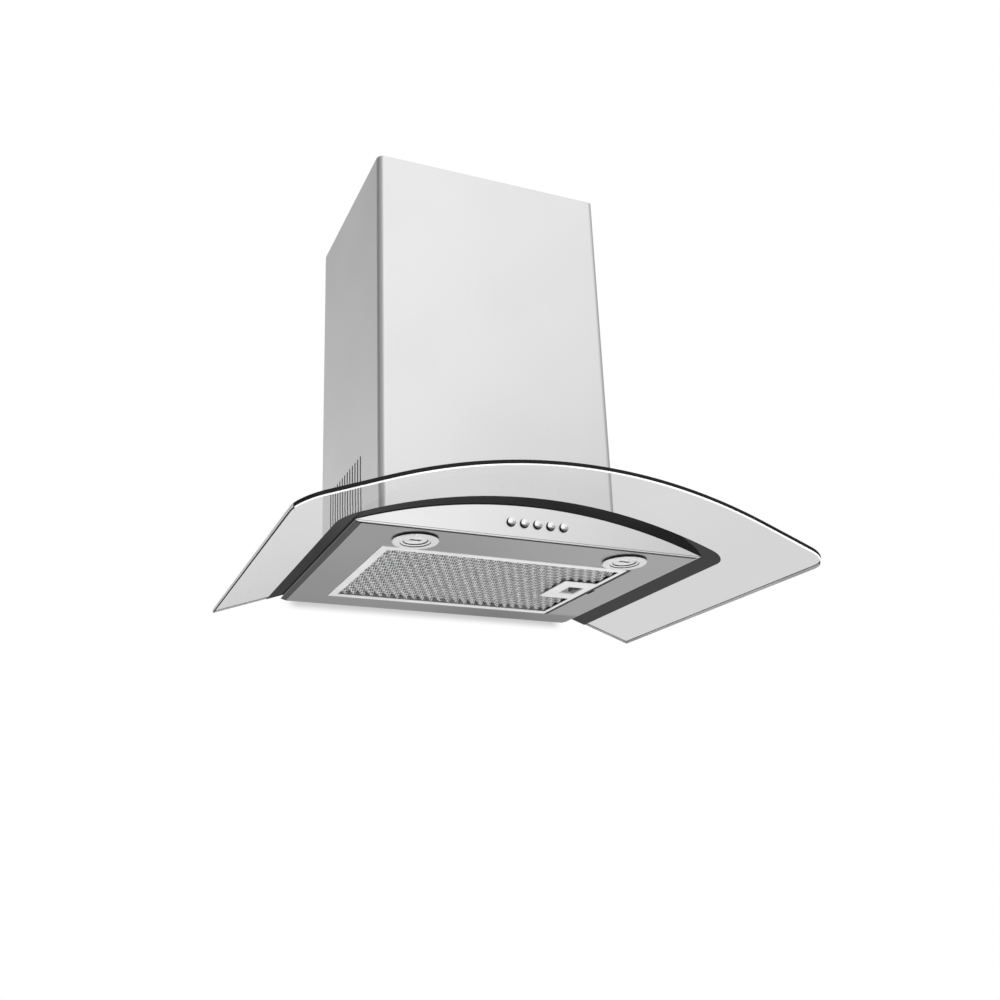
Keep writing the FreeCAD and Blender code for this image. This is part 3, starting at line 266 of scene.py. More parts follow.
def brushedSteel(name, spec):
    # sheet with a belt finish; the options paint shade inside a sleeve, along a seam and a fold, on a
    # flange and on a strip
    material, tree, skin, place = newFinish(name, {"Metallic": 1.0})
    brush = useGroup(tree, brushLines, Place=place, Stretch=spec["stretch"])
    low, high = grey(spec["shade"] - spec["spread"]), grey(spec["shade"] + spec["spread"])
    colour = mixColour(tree, brush["Lines"], low, high)
    across, along, level = axesOf(tree, place)
    # painted shade: faces that look inwards are dark, darkest low down
    if "inside" in spec:
        inward = useGroup(tree, inwardFaces, Place=place, Normal=faceNormal(tree),
                          Centre=spec["axis"])["Inward"]
        upper = rangeNode(tree, level, *spec["insideShadeFade"], smooth=True)
        inner = mixColour(tree, upper, *(grey(shade) for shade in spec["inside"]))
        colour = mixColour(tree, inward, colour, inner)
    # painted shade: a dark line along the lower edge, where the fascia meets the panel, and a fainter one
    # along a fold above it
    if "seam" in spec:
        edge = mathNode(tree, "LESS_THAN", level, panelLevel + spec["seam"])
        apart = mathNode(tree, "SUBTRACT", level, panelLevel + spec["foldLevel"])
        fold = mathNode(tree, "LESS_THAN", mathNode(tree, "ABSOLUTE", apart), spec["seam"] / 2)
        fold = product(tree, fold, spec["foldStrength"])
        colour = mixColour(tree, mathNode(tree, "MAXIMUM", edge, fold), colour, grey(spec["seamPaintedShade"]))
    # painted shade: faces turned to the left are dark
    if "flange" in spec:
        leftward = mathNode(tree, "LESS_THAN", axesOf(tree, faceNormal(tree))[0], spec["flangeTurn"])
        colour = mixColour(tree, leftward, colour, grey(spec["flange"]))
    # painted shade on the strip behind the filter, darker towards the right
    if "strip" in spec:
        behind = rangeNode(tree, along, *spec["strip"], smooth=True)
        right = rangeNode(tree, across, *spec["stripRight"], smooth=True)
        shadow = product(tree, behind, right)
        colour = mixColour(tree, shadow, colour, grey(spec["stripPaintedShade"]))
    tree.links.new(colour, skin.inputs["Base Color"])
    lines = product(tree, brush["Lines"], spec["roughSpread"])
    cloud = product(tree, brush["Cloud"], spec["smear"])
    total = mathNode(tree, "ADD", mathNode(tree, "ADD", lines, cloud), spec["rough"])
    tree.links.new(total, skin.inputs["Roughness"])
    addBump(tree, skin, brush["Lines"], spec["depth"])
    return material


def zincSheet(name, spec):
    material, tree, skin, place = newFinish(name, {"Metallic": 1.0})
    spangle = useGroup(tree, zincSpangle, Place=place, Size=spec["flower"])
    colour = mixColour(tree, spangle["Flower"], grey(spec["dark"]), grey(spec["light"], -0.01))
    tree.links.new(colour, skin.inputs["Base Color"])
    rough = rangeNode(tree, spangle["Height"], 0.0, 1.0, spec["rough"] - 0.07, spec["rough"] + 0.07)
    tree.links.new(rough, skin.inputs["Roughness"])
    addBump(tree, skin, spangle["Height"], 0.02 * mm, 0.4)
    return material


def moulded(name, spec):
    plain = {"Metallic": 0.0, "Specular IOR Level": spec.get("gloss", 0.5)}
    material, tree, skin, place = newFinish(name, plain)
    grain = useGroup(tree, mouldGrain, Place=place, Size=spec["grain"])
    low, high = spec["colour"], tuple(min(1, c * 1.12 + 0.004) for c in spec["colour"][:3]) + (1,)
    tree.links.new(mixColour(tree, grain["Cloud"], low, high), skin.inputs["Base Color"])
    rough = rangeNode(tree, grain["Cloud"], 0.0, 1.0, spec["rough"] - 0.05, spec["rough"] + 0.05)
    tree.links.new(rough, skin.inputs["Roughness"])
    addBump(tree, skin, grain["Height"], spec["depth"])
    return material


def satinMetal(name, spec):
    # anodised or plated metal with a soft sheen; "walls" is painted shade on its upright faces, "deepFrom"
    # and "gapFrom" start painted shade and painted shadow
    material, tree, skin, place = newFinish(name, {"Metallic": spec["metal"]})
    grain = useGroup(tree, mouldGrain, Place=place, Size=spec["grain"])
    colour = mixColour(tree, grain["Cloud"], grey(spec["shade"] * 0.95), grey(spec["shade"]))
    across, _, level = axesOf(tree, place)
    # painted shade on faces deep in a recess
    if "deepFrom" in spec:
        deep = mathNode(tree, "GREATER_THAN", level, spec["deepFrom"])
        colour = mixColour(tree, deep, colour, grey(spec["recessPaintedShade"]))
    # painted shadow on a strip along the right edge, where the gap beside the frame falls in shade
    if "gapFrom" in spec:
        gap = mathNode(tree, "GREATER_THAN", across, spec["gapFrom"])
        colour = mixColour(tree, gap, colour, grey(spec["gapPaintedShadow"]))
    # painted shade: upright faces are near black
    if "walls" in spec:
        upright = useGroup(tree, uprightFaces, Normal=faceNormal(tree), Limit=0.6)["Upright"]
        colour = mixColour(tree, upright, colour, grey(spec["walls"]))
    tree.links.new(colour, skin.inputs["Base Color"])
    rough = rangeNode(tree, grain["Cloud"], 0.0, 1.0, spec["rough"], spec["rough"] + 0.08)
    tree.links.new(rough, skin.inputs["Roughness"])
    addBump(tree, skin, grain["Height"], spec["depth"])
    return material


finishes = {
    # the chimney's inside faces carry painted shade, darkest low down
    "chimneySteel": brushedSteel("chimneySteel", {
        "stretch": (900, 900, 6), "shade": 0.79, "spread": 0.008, "rough": 0.30, "roughSpread": 0.04,
        "smear": 0.03, "depth": 0.002 * mm, "inside": (0.02, 0.30),
        "insideShadeFade": (-0.02, 0.16), "axis": (0, -0.12, 0)}),
    # the fascia carries painted shade lines along its lower edge and along a fold
    "fasciaSteel": brushedSteel("fasciaSteel", {
        "stretch": (6, 900, 900), "shade": 0.88, "spread": 0.010, "rough": 0.27, "roughSpread": 0.05,
        "smear": 0.03, "depth": 0.003 * mm, "seam": 0.8 * mm, "seamPaintedShade": 0.06,
        "foldLevel": 2.56 * mm, "foldStrength": 0.6}),
    # the panel carries painted shade on its left-facing flange faces and on the strip behind the filter
    "panelSteel": brushedSteel("panelSteel", {
        "stretch": (6, 900, 900), "shade": 0.78, "spread": 0.010, "rough": 0.27, "roughSpread": 0.05,
        "smear": 0.03, "depth": 0.003 * mm, "strip": (-0.050, -0.036), "stripRight": (-0.05, 0.12),
        "stripPaintedShade": 0.4836, "flange": 0.14, "flangeTurn": -0.15}),
    "zincSheet": zincSheet("zincSheet", {"flower": 7 * mm, "dark": 0.48, "light": 0.66, "rough": 0.42}),
    "printedEnamel": moulded("printedEnamel", {
        "colour": (0.008, 0.008, 0.009, 1), "rough": 0.14, "gloss": 0.2, "grain": 0.5 * mm,
        "depth": 0.004 * mm}),
    "sealRubber": moulded("sealRubber", {
        "colour": (0.012, 0.012, 0.012, 1), "rough": 0.62, "grain": 0.5 * mm, "depth": 0.02 * mm}),
    "blackPlastic": moulded("blackPlastic", {
        "colour": (0.028, 0.028, 0.030, 1), "rough": 0.48, "grain": 0.7 * mm, "depth": 0.03 * mm}),
    "greyPlastic": moulded("greyPlastic", {
        "colour": (0.36, 0.37, 0.38, 1), "rough": 0.5, "grain": 0.7 * mm, "depth": 0.03 * mm}),
    "whitePlastic": moulded("whitePlastic", {
        "colour": (0.74, 0.74, 0.70, 1), "rough": 0.38, "grain": 0.8 * mm, "depth": 0.015 * mm}),
    "satinAluminium": satinMetal("satinAluminium", {
        "metal": 0.3, "shade": 0.92, "rough": 0.36, "grain": 0.4 * mm, "depth": 0.006 * mm}),
    # the latch plate's recess floor is painted in shade
    "latchAluminium": satinMetal("latchAluminium", {
        "metal": 0.3, "shade": 0.94, "rough": 0.36, "grain": 0.4 * mm, "depth": 0.006 * mm,
        "deepFrom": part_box("latch_plate")[0].z + 1.5 * mm, "recessPaintedShade": 0.52}),
    "latchBolt": satinMetal("latchBolt", {
        "metal": 1.0, "shade": 0.16, "rough": 0.3, "grain": 0.4 * mm, "depth": 0.006 * mm}),
    # the filter frame's right edge carries a painted shadow strip
    "frameAluminium": satinMetal("frameAluminium", {
        "metal": 0.3, "shade": 0.94, "rough": 0.36, "grain": 0.4 * mm, "depth": 0.006 * mm,
        "gapFrom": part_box("filter_frame")[1].x - 5.0 * mm, "gapPaintedShadow": 0.004}),
    "satinChrome": satinMetal("satinChrome", {
        "metal": 0.45, "shade": 0.93, "rough": 0.22, "grain": 0.5 * mm, "depth": 0.003 * mm}),
    # the lamp bezels' upright walls are painted near black as shade
    "bezelChrome": satinMetal("bezelChrome", {
        "metal": 0.35, "shade": 0.90, "rough": 0.22, "grain": 0.5 * mm, "depth": 0.003 * mm,
        "walls": 0.02}),
    "brightChrome": satinMetal("brightChrome", {
        "metal": 1.0, "shade": 0.86, "rough": 0.06, "grain": 1.2 * mm, "depth": 0.002 * mm}),
    # a dark copy of the bright chrome: painted shade for the push caps' skirts
    "paintedShadeChrome": satinMetal("paintedShadeChrome", {
        "metal": 1.0, "shade": 0.05, "rough": 0.12, "grain": 1.2 * mm, "depth": 0.002 * mm}),
    "motorCasting": satinMetal("motorCasting", {
        "metal": 0.9, "shade": 0.55, "rough": 0.46, "grain": 0.9 * mm, "depth": 0.05 * mm}),
    "platedScrew": satinMetal("platedScrew", {
        "metal": 1.0, "shade": 0.66, "rough": 0.28, "grain": 0.6 * mm, "depth": 0.01 * mm}),
    "contactBrass": satinMetal("contactBrass", {
        "metal": 1.0, "shade": 0.70, "rough": 0.3, "grain": 0.6 * mm, "depth": 0.008 * mm}),
}

finishOfNode = {
    "chimneySteel": ("chimney_outer", "chimney_inner"),
    "panelSteel": ("bottom_panel",),
    "fasciaSteel": ("fascia",),
    "zincSheet": ("body_top", "rear_wall", "hanging_plate", "inner_casing", "casing_lid", "chimney_rests",
                  "ceiling_bracket", "motor_bracket", "capacitor_clip", "glass_clamps"),
    "printedEnamel": ("glass_border",),
    "sealRubber": ("canopy_seal", "clamp_pads"),
    "blackPlastic": ("switch_block", "blower_housing", "inlet_ring", "outlet_collar", "cable_gland"),
    "greyPlastic": ("impeller", "terminal_box", "terminal_lid", "flap_left", "flap_right"),
    "whitePlastic": ("terminal_strip", "capacitor"),
    "satinAluminium": ("filter_tabs",),
    "latchAluminium": ("latch_plate",),
    "latchBolt": ("latch_slider",),
    "frameAluminium": ("filter_frame",),
    "bezelChrome": ("lamp_bezel_left", "lamp_bezel_right"),
    "satinChrome": ("lamp_cup_left", "lamp_cup_right"),
    "motorCasting": ("motor",),
    "platedScrew": ("motor_shaft", "rest_screws", "bracket_screws", "motor_screws", "collar_screws",
                    "clamp_screws"),
    "contactBrass": ("switch_terminals",),
}


def dressFrame():
    for finish, names in finishOfNode.items():
        for name in names:
            for slot in nodes[name].material_slots:
                slot.material = finishes[finish]


dressFrame()
nodes["glass_border"].visible_glossy = False
print("frame dressed")


# piece builders
def addPiece(name, mesh, body, finish, replaces=()):
    piece = bpy.data.objects.new(name, mesh)
    bpy.context.scene.collection.objects.link(piece)
    for material in finish if isinstance(finish, (list, tuple)) else [finish]:
        mesh.materials.append(material)
    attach(piece, body)
    if replaces:
        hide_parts(*replaces)
    return piece


def meshFrom(bm, name, sharpAngle=35):
    bmesh.ops.recalc_face_normals(bm, faces=bm.faces)
    mesh = bpy.data.meshes.new(name)
    bm.to_mesh(mesh)
    bm.free()
    mesh.polygons.foreach_set("use_smooth", [True] * len(mesh.polygons))
    mesh.set_sharp_from_angle(angle=math.radians(sharpAngle))
    return mesh


def lathe(name, profile, centre, axis, steps=64):
    # profile is (radius, distance along the axis); a radius of 0 closes an end
    bm = bmesh.new()
    ahead = Vector(axis).normalized()
    side = ahead.orthogonal().normalized()
    across = ahead.cross(side)
    rings = []
    for radius, along in profile:
        middle = Vector(centre) + ahead * along
        if radius <= 0:
            rings.append([bm.verts.new(middle)])
            continue
        turns = [2 * math.pi * i / steps for i in range(steps)]
        rings.append([bm.verts.new(middle + side * radius * math.cos(a) + across * radius * math.sin(a))
                      for a in turns])
    for first, second in zip(rings, rings[1:]):
        for i in range(steps):
            j = (i + 1) % steps
            corners = [first[i % len(first)], first[j % len(first)],
                       second[j % len(second)], second[i % len(second)]]
            bm.faces.new(list(dict.fromkeys(corners)))
    return meshFrom(bm, name)


# glass canopy: the bent sheet with its ground edges
canopy = {
    "thickness": 5.5 * mm,
    "bendRadius": 630 * mm,
    "bendHalf": 210 * mm,
    "rise": 40 * mm,            # underside over the panel, on the centre line
    "bow": 8.1 * mm,            # fall of the front edge at the corners
    "corner": 28 * mm,
    "notchHalf": 138 * mm,
    "notchFront": -219 * mm,
    "notchCorner": 8 * mm,
    "arrisUnder": 1.3 * mm,     # polished chamfer along the lower edge
    "arrisTop": 0.5 * mm,
    "step": 7 * mm,             # width of the strips that follow the bend
    "arcStep": math.radians(3),
    "facing": 0.3,              # an edge face that leans this far forwards or left is the dark one
    "ior": 1.06,
    # painted shade: the glass turns a touch greyer into the right wing
    "wingShadeFrom": (0.11, 0.23),   # across, from the middle into the right wing
    "wingShade": (1.0, 0.95),
    # the ground edges take a dark, a mid or a light copy of one finish by the way each face turns: the
    # front edge's dark is partly glass's real look edge-on, the mid and light copies are painted shade and
    # painted highlight
    "edges": {                  # shade, roughness and gloss of the ground edges
        "glassEdgeDark": (0.008, 0.2, 0.15),
        "glassEdgeSide": (0.48, 0.2, 0.3),
        "glassArris": (0.90, 0.3, 0.5),
    },
}
darkSlot, sideSlot, arrisSlot = 1, 2, 3     # the sheet's materials after the clear glass


def bentLevel(x, offset):
    radius = canopy["bendRadius"] + offset
    bend = math.asin(canopy["bendHalf"] / canopy["bendRadius"])
    centre = panelLevel + canopy["rise"] - canopy["bendRadius"]
    arcHalf = radius * math.sin(bend)
    if abs(x) <= arcHalf:
        return centre + math.sqrt(radius ** 2 - x ** 2)
    return centre + radius * math.cos(bend) - (abs(x) - arcHalf) * math.tan(bend)


def arcPoints(centre, radius, start, end, step):
    count = max(2, round(abs(end - start) / step))
    turns = [start + (end - start) * i / count for i in range(count + 1)]
    return [Vector((centre[0] + radius * math.cos(a), centre[1] + radius * math.sin(a), 0)) for a in turns]


def canopyOutline():
    # right half from the notch round to the middle of the front edge, then mirrored
    low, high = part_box("glass_canopy")
    half, front, rear = high.x, low.y, high.y
    bow, corner, cut = canopy["bow"], canopy["corner"], canopy["notchCorner"]
    frontRadius = (half ** 2 + bow ** 2) / (2 * bow)
    frontCentre = Vector((0, front + frontRadius, 0))
    cornerX = half - corner
    cornerY = frontCentre.y - math.sqrt((frontRadius - corner) ** 2 - cornerX ** 2)
    reach = Vector((cornerX, cornerY, 0)) - frontCentre
    endTurn = math.atan2(reach.y, reach.x)
    notchCentre = (canopy["notchHalf"] - cut, canopy["notchFront"] + cut)
    right = arcPoints(notchCentre, cut, -math.pi / 2, 0, canopy["arcStep"] * 4)
    right += [Vector((canopy["notchHalf"], rear, 0)), Vector((half, rear, 0))]
    right += arcPoints((cornerX, cornerY), corner, 0, endTurn, canopy["arcStep"])
    right += arcPoints(frontCentre, frontRadius, endTurn, -math.pi / 2, canopy["arcStep"] / 20)[1:]
    left = [Vector((-p.x, p.y, 0)) for p in reversed(right[:-1])]
    return right + left


def canopyMesh():
    bm = bmesh.new()
    face = bm.faces.new([bm.verts.new(p) for p in canopyOutline()])
    bmesh.ops.recalc_face_normals(bm, faces=[face])
    count = round(canopy["bendHalf"] / canopy["step"])
    for i in range(-count, count + 1):
        place = (canopy["bendHalf"] * i / count, 0, 0)
        geometry = bm.verts[:] + bm.edges[:] + bm.faces[:]
        bmesh.ops.bisect_plane(bm, geom=geometry, dist=1e-6, plane_co=place, plane_no=(1, 0, 0))
    under = bm.faces[:]
    rim = [e for e in bm.edges if e.is_boundary]
    top = {v: bm.verts.new((v.co.x, v.co.y, bentLevel(v.co.x, canopy["thickness"]))) for v in bm.verts[:]}
    for v in top:
        v.co.z = bentLevel(v.co.x, 0)
    for f in under:
        bm.faces.new([top[v] for v in f.verts])
    walls = [bm.faces.new((e.verts[0], e.verts[1], top[e.verts[1]], top[e.verts[0]])) for e in rim]
    bmesh.ops.recalc_face_normals(bm, faces=bm.faces)
    facing = canopy["facing"]
    # edge faces get the dark or the lighter copy by the way they face: painted shade
    for wall in walls:
        wall.material_index = darkSlot if wall.normal.y < -facing else sideSlot
    topRim = [bm.edges.get((top[e.verts[0]], top[e.verts[1]])) for e in rim]
    bmesh.ops.bevel(bm, geom=topRim, offset=canopy["arrisTop"], segments=1, affect="EDGES",
                     material=darkSlot)
    bmesh.ops.bevel(bm, geom=rim, offset=canopy["arrisUnder"], segments=1, affect="EDGES",
                     material=arrisSlot)
    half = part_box("glass_canopy")[1].x
    for v in bm.verts:
        v.co.x = max(-half, min(half, v.co.x))      # the bevels stay inside the piece's box
    bm.normal_update()
    # the lower arris keeps its light copy only where it faces forwards: a painted highlight
    for face in bm.faces:
        if face.material_index == arrisSlot and face.normal.y > -facing:
            face.material_index = darkSlot if face.normal.x < -facing else sideSlot
    return meshFrom(bm, "glassSheet", 20)


def clearGlass():
    # clear, with painted shade that makes the right wing a touch greyer
    plain = {"Metallic": 0.0, "Transmission Weight": 1.0, "IOR": canopy["ior"]}
    material, tree, skin, place = newFinish("clearGlass", plain)
    wing = rangeNode(tree, axesOf(tree, place)[0], *canopy["wingShadeFrom"], smooth=True)
    wingShade = mixColour(tree, wing, *(grey(shade) for shade in canopy["wingShade"]))
    tree.links.new(wingShade, skin.inputs["Base Color"])
    cloud = useGroup(tree, mouldGrain, Place=place, Size=0.3)["Cloud"]
    tree.links.new(rangeNode(tree, cloud, 0.0, 1.0, 0.0, 0.015), skin.inputs["Roughness"])
    return material


def groundEdge(name, shade, rough, gloss):
    plain = {"Metallic": 0.0, "Specular IOR Level": gloss}
    material, tree, skin, place = newFinish(name, plain)
    grain = useGroup(tree, mouldGrain, Place=place, Size=0.5 * mm)
    colour = mixColour(tree, grain["Cloud"], grey(shade), grey(shade * 1.3))
    tree.links.new(colour, skin.inputs["Base Color"])
    tree.links.new(rangeNode(tree, grain["Cloud"], 0, 1, rough, rough + 0.06), skin.inputs["Roughness"])
    addBump(tree, skin, grain["Height"], 0.01 * mm)
    return material


glassFinishes = [clearGlass()] + [groundEdge(name, *spec) for name, spec in canopy["edges"].items()]
glassSheet = addPiece("glassSheet", canopyMesh(), "hood", glassFinishes, ["glass_canopy"])
glassSheet.visible_shadow = False
glassSheet.visible_glossy = False       # the bright fascia under it keeps a clean reflection
print("glass made")


# push buttons: smooth domed caps on their stems
button = {
    "dome": 0.6 * mm,
    "rimRound": 0.6 * mm,
    "domeSteps": 14,
    "rimSteps": 4,
    "groove": 0.25 * mm,
    "skirt": 4.5 * mm,          # front of the cap to the groove
    "shoulder": 10.2 * mm,      # front of the cap to the stem
    "stemRadius": 2.0 * mm,
    "stemChamfer": 0.3 * mm,
    "skirtShadeFrom": 0.75,          # faces turned further round than this get the painted shade
}


def buttonMesh(name, node):
    low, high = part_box(node)
    radius, length = (high.x - low.x) / 2, high.y - low.y
    centre = ((low.x + high.x) / 2, low.y, (low.z + high.z) / 2)
    dome, rim = button["dome"], button["rimRound"]
    sphere = ((radius - rim) ** 2 + dome ** 2) / (2 * dome)
    profile = [(0, 0)]
    for i in range(1, button["domeSteps"] + 1):
        r = (radius - rim) * i / button["domeSteps"]
        profile.append((r, sphere - math.sqrt(sphere ** 2 - r ** 2)))
    for i in range(1, button["rimSteps"] + 1):
        turn = math.pi / 2 * i / button["rimSteps"]
        profile.append((radius - rim + rim * math.sin(turn), dome + rim * (1 - math.cos(turn))))
    skirt, groove, shoulder = button["skirt"], button["groove"], button["shoulder"]
    stem, chamfer = button["stemRadius"], button["stemChamfer"]
    profile += [(radius, skirt), (radius - groove, skirt + groove), (radius - groove, shoulder),
                (stem, shoulder), (stem, length - chamfer), (stem - chamfer, length), (0, length)]
    mesh = lathe(name, profile, centre, (0, 1, 0), 48)
    # the cap's skirt takes the painted shade, the dome the bright chrome
    for face in mesh.polygons:
        face.material_index = 1 if face.normal.y > -button["skirtShadeFrom"] else 0
    return mesh


buttonBodies = ["button_light", "button_off", "button_slow", "button_medium", "button_fast"]
for number, body in enumerate(buttonBodies, 1):
    name, node = "pushCap%d" % number, "button_%d" % number
    addPiece(name, buttonMesh(name, node), body,
             [finishes["brightChrome"], finishes["paintedShadeChrome"]], [node])
print("buttons made")


# grease filter: a pleated pad with an expanded metal net under it
grease = {
    "pitch": 10.5 * mm,
    "depth": 4.0 * mm,
    "turn": math.radians(28),       # pleats lean this far from the Y axis
    "low": 2.0 * mm,                # pad's lowest line over the panel's underside
    "padWall": 0.4 * mm,
    "padStep": 1.05 * mm,
    "padRow": 9.0 * mm,
    "inset": 2.4 * mm,              # pad's edge inside the frame, left and front
    "rearInset": 10.4 * mm,
    "rightInset": 8.4 * mm,
    "cupReach": 29.0 * mm,          # room for the latch's cup, from the plate's right edge
    "cupHalf": 17.0 * mm,
    "netGap": 0.9 * mm,
    "cellLong": 12.0 * mm,
    "cellWide": 4.0 * mm,
    "strand": 0.9 * mm,
    "foil": 0.25 * mm,
    "uneven": 0.3 * mm,             # how far the net's crossings stray
    "seed": 7,
    "sliver": 0.15,                 # a cell with a smaller hole than this share stays whole
    "creases": (330, 90, 330),
    "valley": 0.62,                 # how much of the light reaches the bottom of a pleat
    "endShade": (6.0 * mm, 2.0 * mm),   # painted shade darkens a pleat this near to its rear end
    # the pad's foil is painted dark, as the shade under the net
    "padFoil": (0.02, 0.30, 0.1, 0.45),     # dark, light, metallic, roughness
    "netFoil": (0.80, 1.0, 0.0, 0.25),
}


def pleatHeight(s):
    wave = 0.5 - 0.5 * math.cos(2 * math.pi * s / grease["pitch"])
    return grease["low"] + grease["depth"] * wave


def pleatAcross():
    return (math.cos(grease["turn"]), -math.sin(grease["turn"]), 0.0)


def filterPlan():
    low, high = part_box("filter_frame")
    centre = (low + high) / 2
    half = (high - low) / 2 - Vector((grease["inset"], grease["inset"], 0))
    return centre, half


def padEdges():
    centre, half = filterPlan()
    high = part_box("filter_frame")[1]
    return (centre.x - half.x, high.x - grease["rightInset"],
            centre.y - half.y, high.y - grease["rearInset"])


def latchRoom():
    # the pad stops round the latch's cup and its bolt
    low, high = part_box("latch_plate")
    middle = (low.y + high.y) / 2
    return (high.x - grease["cupReach"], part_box("filter_frame")[1].x,
            middle - grease["cupHalf"], middle + grease["cupHalf"])


def pleatedCells(stepAcross, stepAlong, diamonds):
    # rings of grid points in the pleats' own directions: s across them, t along them
    centre, half = filterPlan()
    cosine, sine = math.cos(grease["turn"]), math.sin(grease["turn"])
    reach = half.x + half.y
    rows, columns = round(reach / stepAlong), round(reach / stepAcross)
    slack = max(stepAcross, stepAlong)

    def plan(i, j):
        s, t = i * stepAcross, j * stepAlong
        return centre.x + s * cosine + t * sine, centre.y - s * sine + t * cosine, s

    cells = []
    for i in range(-columns, columns):
        for j in range(-rows, rows):
            if diamonds and (i + j) % 2:
                continue
            x, y, _ = plan(i, j)
            if abs(x - centre.x) > half.x + slack or abs(y - centre.y) > half.y + slack:
                continue
            cells.append([(i, j - 1), (i + 1, j), (i, j + 1), (i - 1, j)] if diamonds else
                         [(i, j), (i + 1, j), (i + 1, j + 1), (i, j + 1)])
    return cells, plan


def cutSheet(bm, faces, place, away, clear=False):
    edges = list(dict.fromkeys(e for f in faces for e in f.edges))
    verts = list(dict.fromkeys(v for f in faces for v in f.verts))
    bmesh.ops.bisect_plane(bm, geom=verts + edges + faces, dist=1e-6, plane_co=place, plane_no=away,
                           clear_outer=clear)


def pleatedSheet(stepAcross, stepAlong, diamonds, drop, stray=0.0):
    # one open sheet, "drop" under the pad's lower skin, cut straight along the frame and the latch
    cells, plan = pleatedCells(stepAcross, stepAlong, diamonds)
    bm = bmesh.new()
    points = {}
    chance = random.Random(grease["seed"])
    for ring in cells:
        for key in ring:
            if key not in points:
                x, y, s = plan(*key)
                shift = Vector([chance.uniform(-stray, stray) for _ in "xyz"])
                points[key] = bm.verts.new(Vector((x, y, panelLevel + pleatHeight(s) - drop)) + shift)
        bm.faces.new([points[key] for key in ring])
    left, right, front, rear = padEdges()
    for place, away in (((left, 0, 0), (-1, 0, 0)), ((right, 0, 0), (1, 0, 0)),
                        ((0, front, 0), (0, -1, 0)), ((0, rear, 0), (0, 1, 0))):
        cutSheet(bm, bm.faces[:], place, away, clear=True)
    roomLeft, roomRight, roomFront, roomRear = latchRoom()

    def touching(face):
        xs, ys = [v.co.x for v in face.verts], [v.co.y for v in face.verts]
        return max(xs) > roomLeft and max(ys) > roomFront and min(ys) < roomRear

    def inRoom(face):
        middle = face.calc_center_median()
        return roomLeft < middle.x < roomRight and roomFront < middle.y < roomRear

    for place, away in (((roomLeft, 0, 0), (1, 0, 0)), ((0, roomFront, 0), (0, 1, 0)),
                        ((0, roomRear, 0), (0, 1, 0))):
        cutSheet(bm, [f for f in bm.faces if touching(f)], place, away)
    bmesh.ops.delete(bm, geom=[f for f in bm.faces if inRoom(f)], context="FACES")
    bmesh.ops.recalc_face_normals(bm, faces=bm.faces)
    return bm


def filterPadMesh():
    bm = pleatedSheet(grease["padStep"], grease["padRow"], False, 0.0)
    bmesh.ops.solidify(bm, geom=bm.faces[:], thickness=grease["padWall"])
    return meshFrom(bm, "filterPad", 60)


def filterNetMesh():
    halfWide, halfLong = grease["cellWide"] / 2, grease["cellLong"] / 2
    bm = pleatedSheet(halfWide, halfLong, True, grease["netGap"], grease["uneven"])
    for face in bm.faces[:]:
        hole = 1 - grease["strand"] * face.calc_perimeter() / (4 * face.calc_area())
        if hole < grease["sliver"]:
            continue
        middle = face.calc_center_median()
        outer = face.verts[:]
        inner = [bm.verts.new(middle.lerp(v.co, hole)) for v in outer]
        for i, v in enumerate(outer):
            bm.faces.new((outer[i - 1], v, inner[i], inner[i - 1]))
        bm.faces.remove(face)
    bmesh.ops.recalc_face_normals(bm, faces=bm.faces)
    bmesh.ops.solidify(bm, geom=bm.faces[:], thickness=grease["foil"])
    return meshFrom(bm, "filterNet", 80)


def foilFinish(name):
    # crinkled foil, with painted shade in the pleats' valleys and at their rear ends
    dark, light, metal, rough = grease[name]
    material, tree, skin, place = newFinish(name, {"Metallic": metal})
    drawn = vectorNode(tree, "MULTIPLY", place, grease["creases"])
    crease = addNode(tree, "ShaderNodeTexNoise", {"Vector": drawn, "Scale": 1.0, "Detail": 2.0})
    tone = rangeNode(tree, crease.outputs[0], 0.35, 0.65)
    turned = dotNode(tree, vectorNode(tree, "SUBTRACT", place, filterPlan()[0]), pleatAcross())
    phase = product(tree, turned, 2 * math.pi / grease["pitch"])
    wave = mathNode(tree, "COSINE", phase)
    crest = rangeNode(tree, wave, -1.0, 1.0, grease["valley"], 1.0)
    lit = mixColour(tree, product(tree, tone, crest), grey(dark), grey(light))
    colour = mixColour(tree, crest, grey(dark * 0.4), lit)
    rear = padEdges()[3]
    far, near = grease["endShade"]
    ends = rangeNode(tree, axesOf(tree, place)[1], rear - far, rear - near, smooth=True)
    hollow = rangeNode(tree, wave, 0.2, -0.4, smooth=True)
    colour = mixColour(tree, product(tree, ends, hollow), colour, grey(0.01))
    tree.links.new(colour, skin.inputs["Base Color"])
    tree.links.new(rangeNode(tree, tone, 0, 1, rough, rough + 0.15), skin.inputs["Roughness"])
    addBump(tree, skin, crease.outputs[0], 0.25 * mm, 0.5)
    return material


padFinish, netFinish = foilFinish("padFoil"), foilFinish("netFoil")
addPiece("filterPad", filterPadMesh(), "filter", padFinish, ["filter_mesh"])
addPiece("filterNet", filterNetMesh(), "filter", netFinish)
print("filter made")


# lamps: pressed lens, its rubber ring, and a capsule bulb in the reflector
lamp = {
    "rings": 7,
    "ringSteps": 6,
    "ringDepth": 0.25 * mm,
    "rim": 1.3 * mm,            # plain edge outside the pressed rings
    "chamfer": 0.3 * mm,
    "recess": 0.05 * mm,
    "sealWide": 1.8 * mm,
    "sealLip": 0.35 * mm,
    "bulbRadius": 3.2 * mm,
    "bulbHalf": 8.4 * mm,
    "bulbLift": 0.2 * mm,
    "frost": (0.92, 0.97),      # shades of the pressed glass
    "capsuleShade": 0.04,        # painted shade of the capsule in the glass
    "smoke": (0.03, 0.06),
}


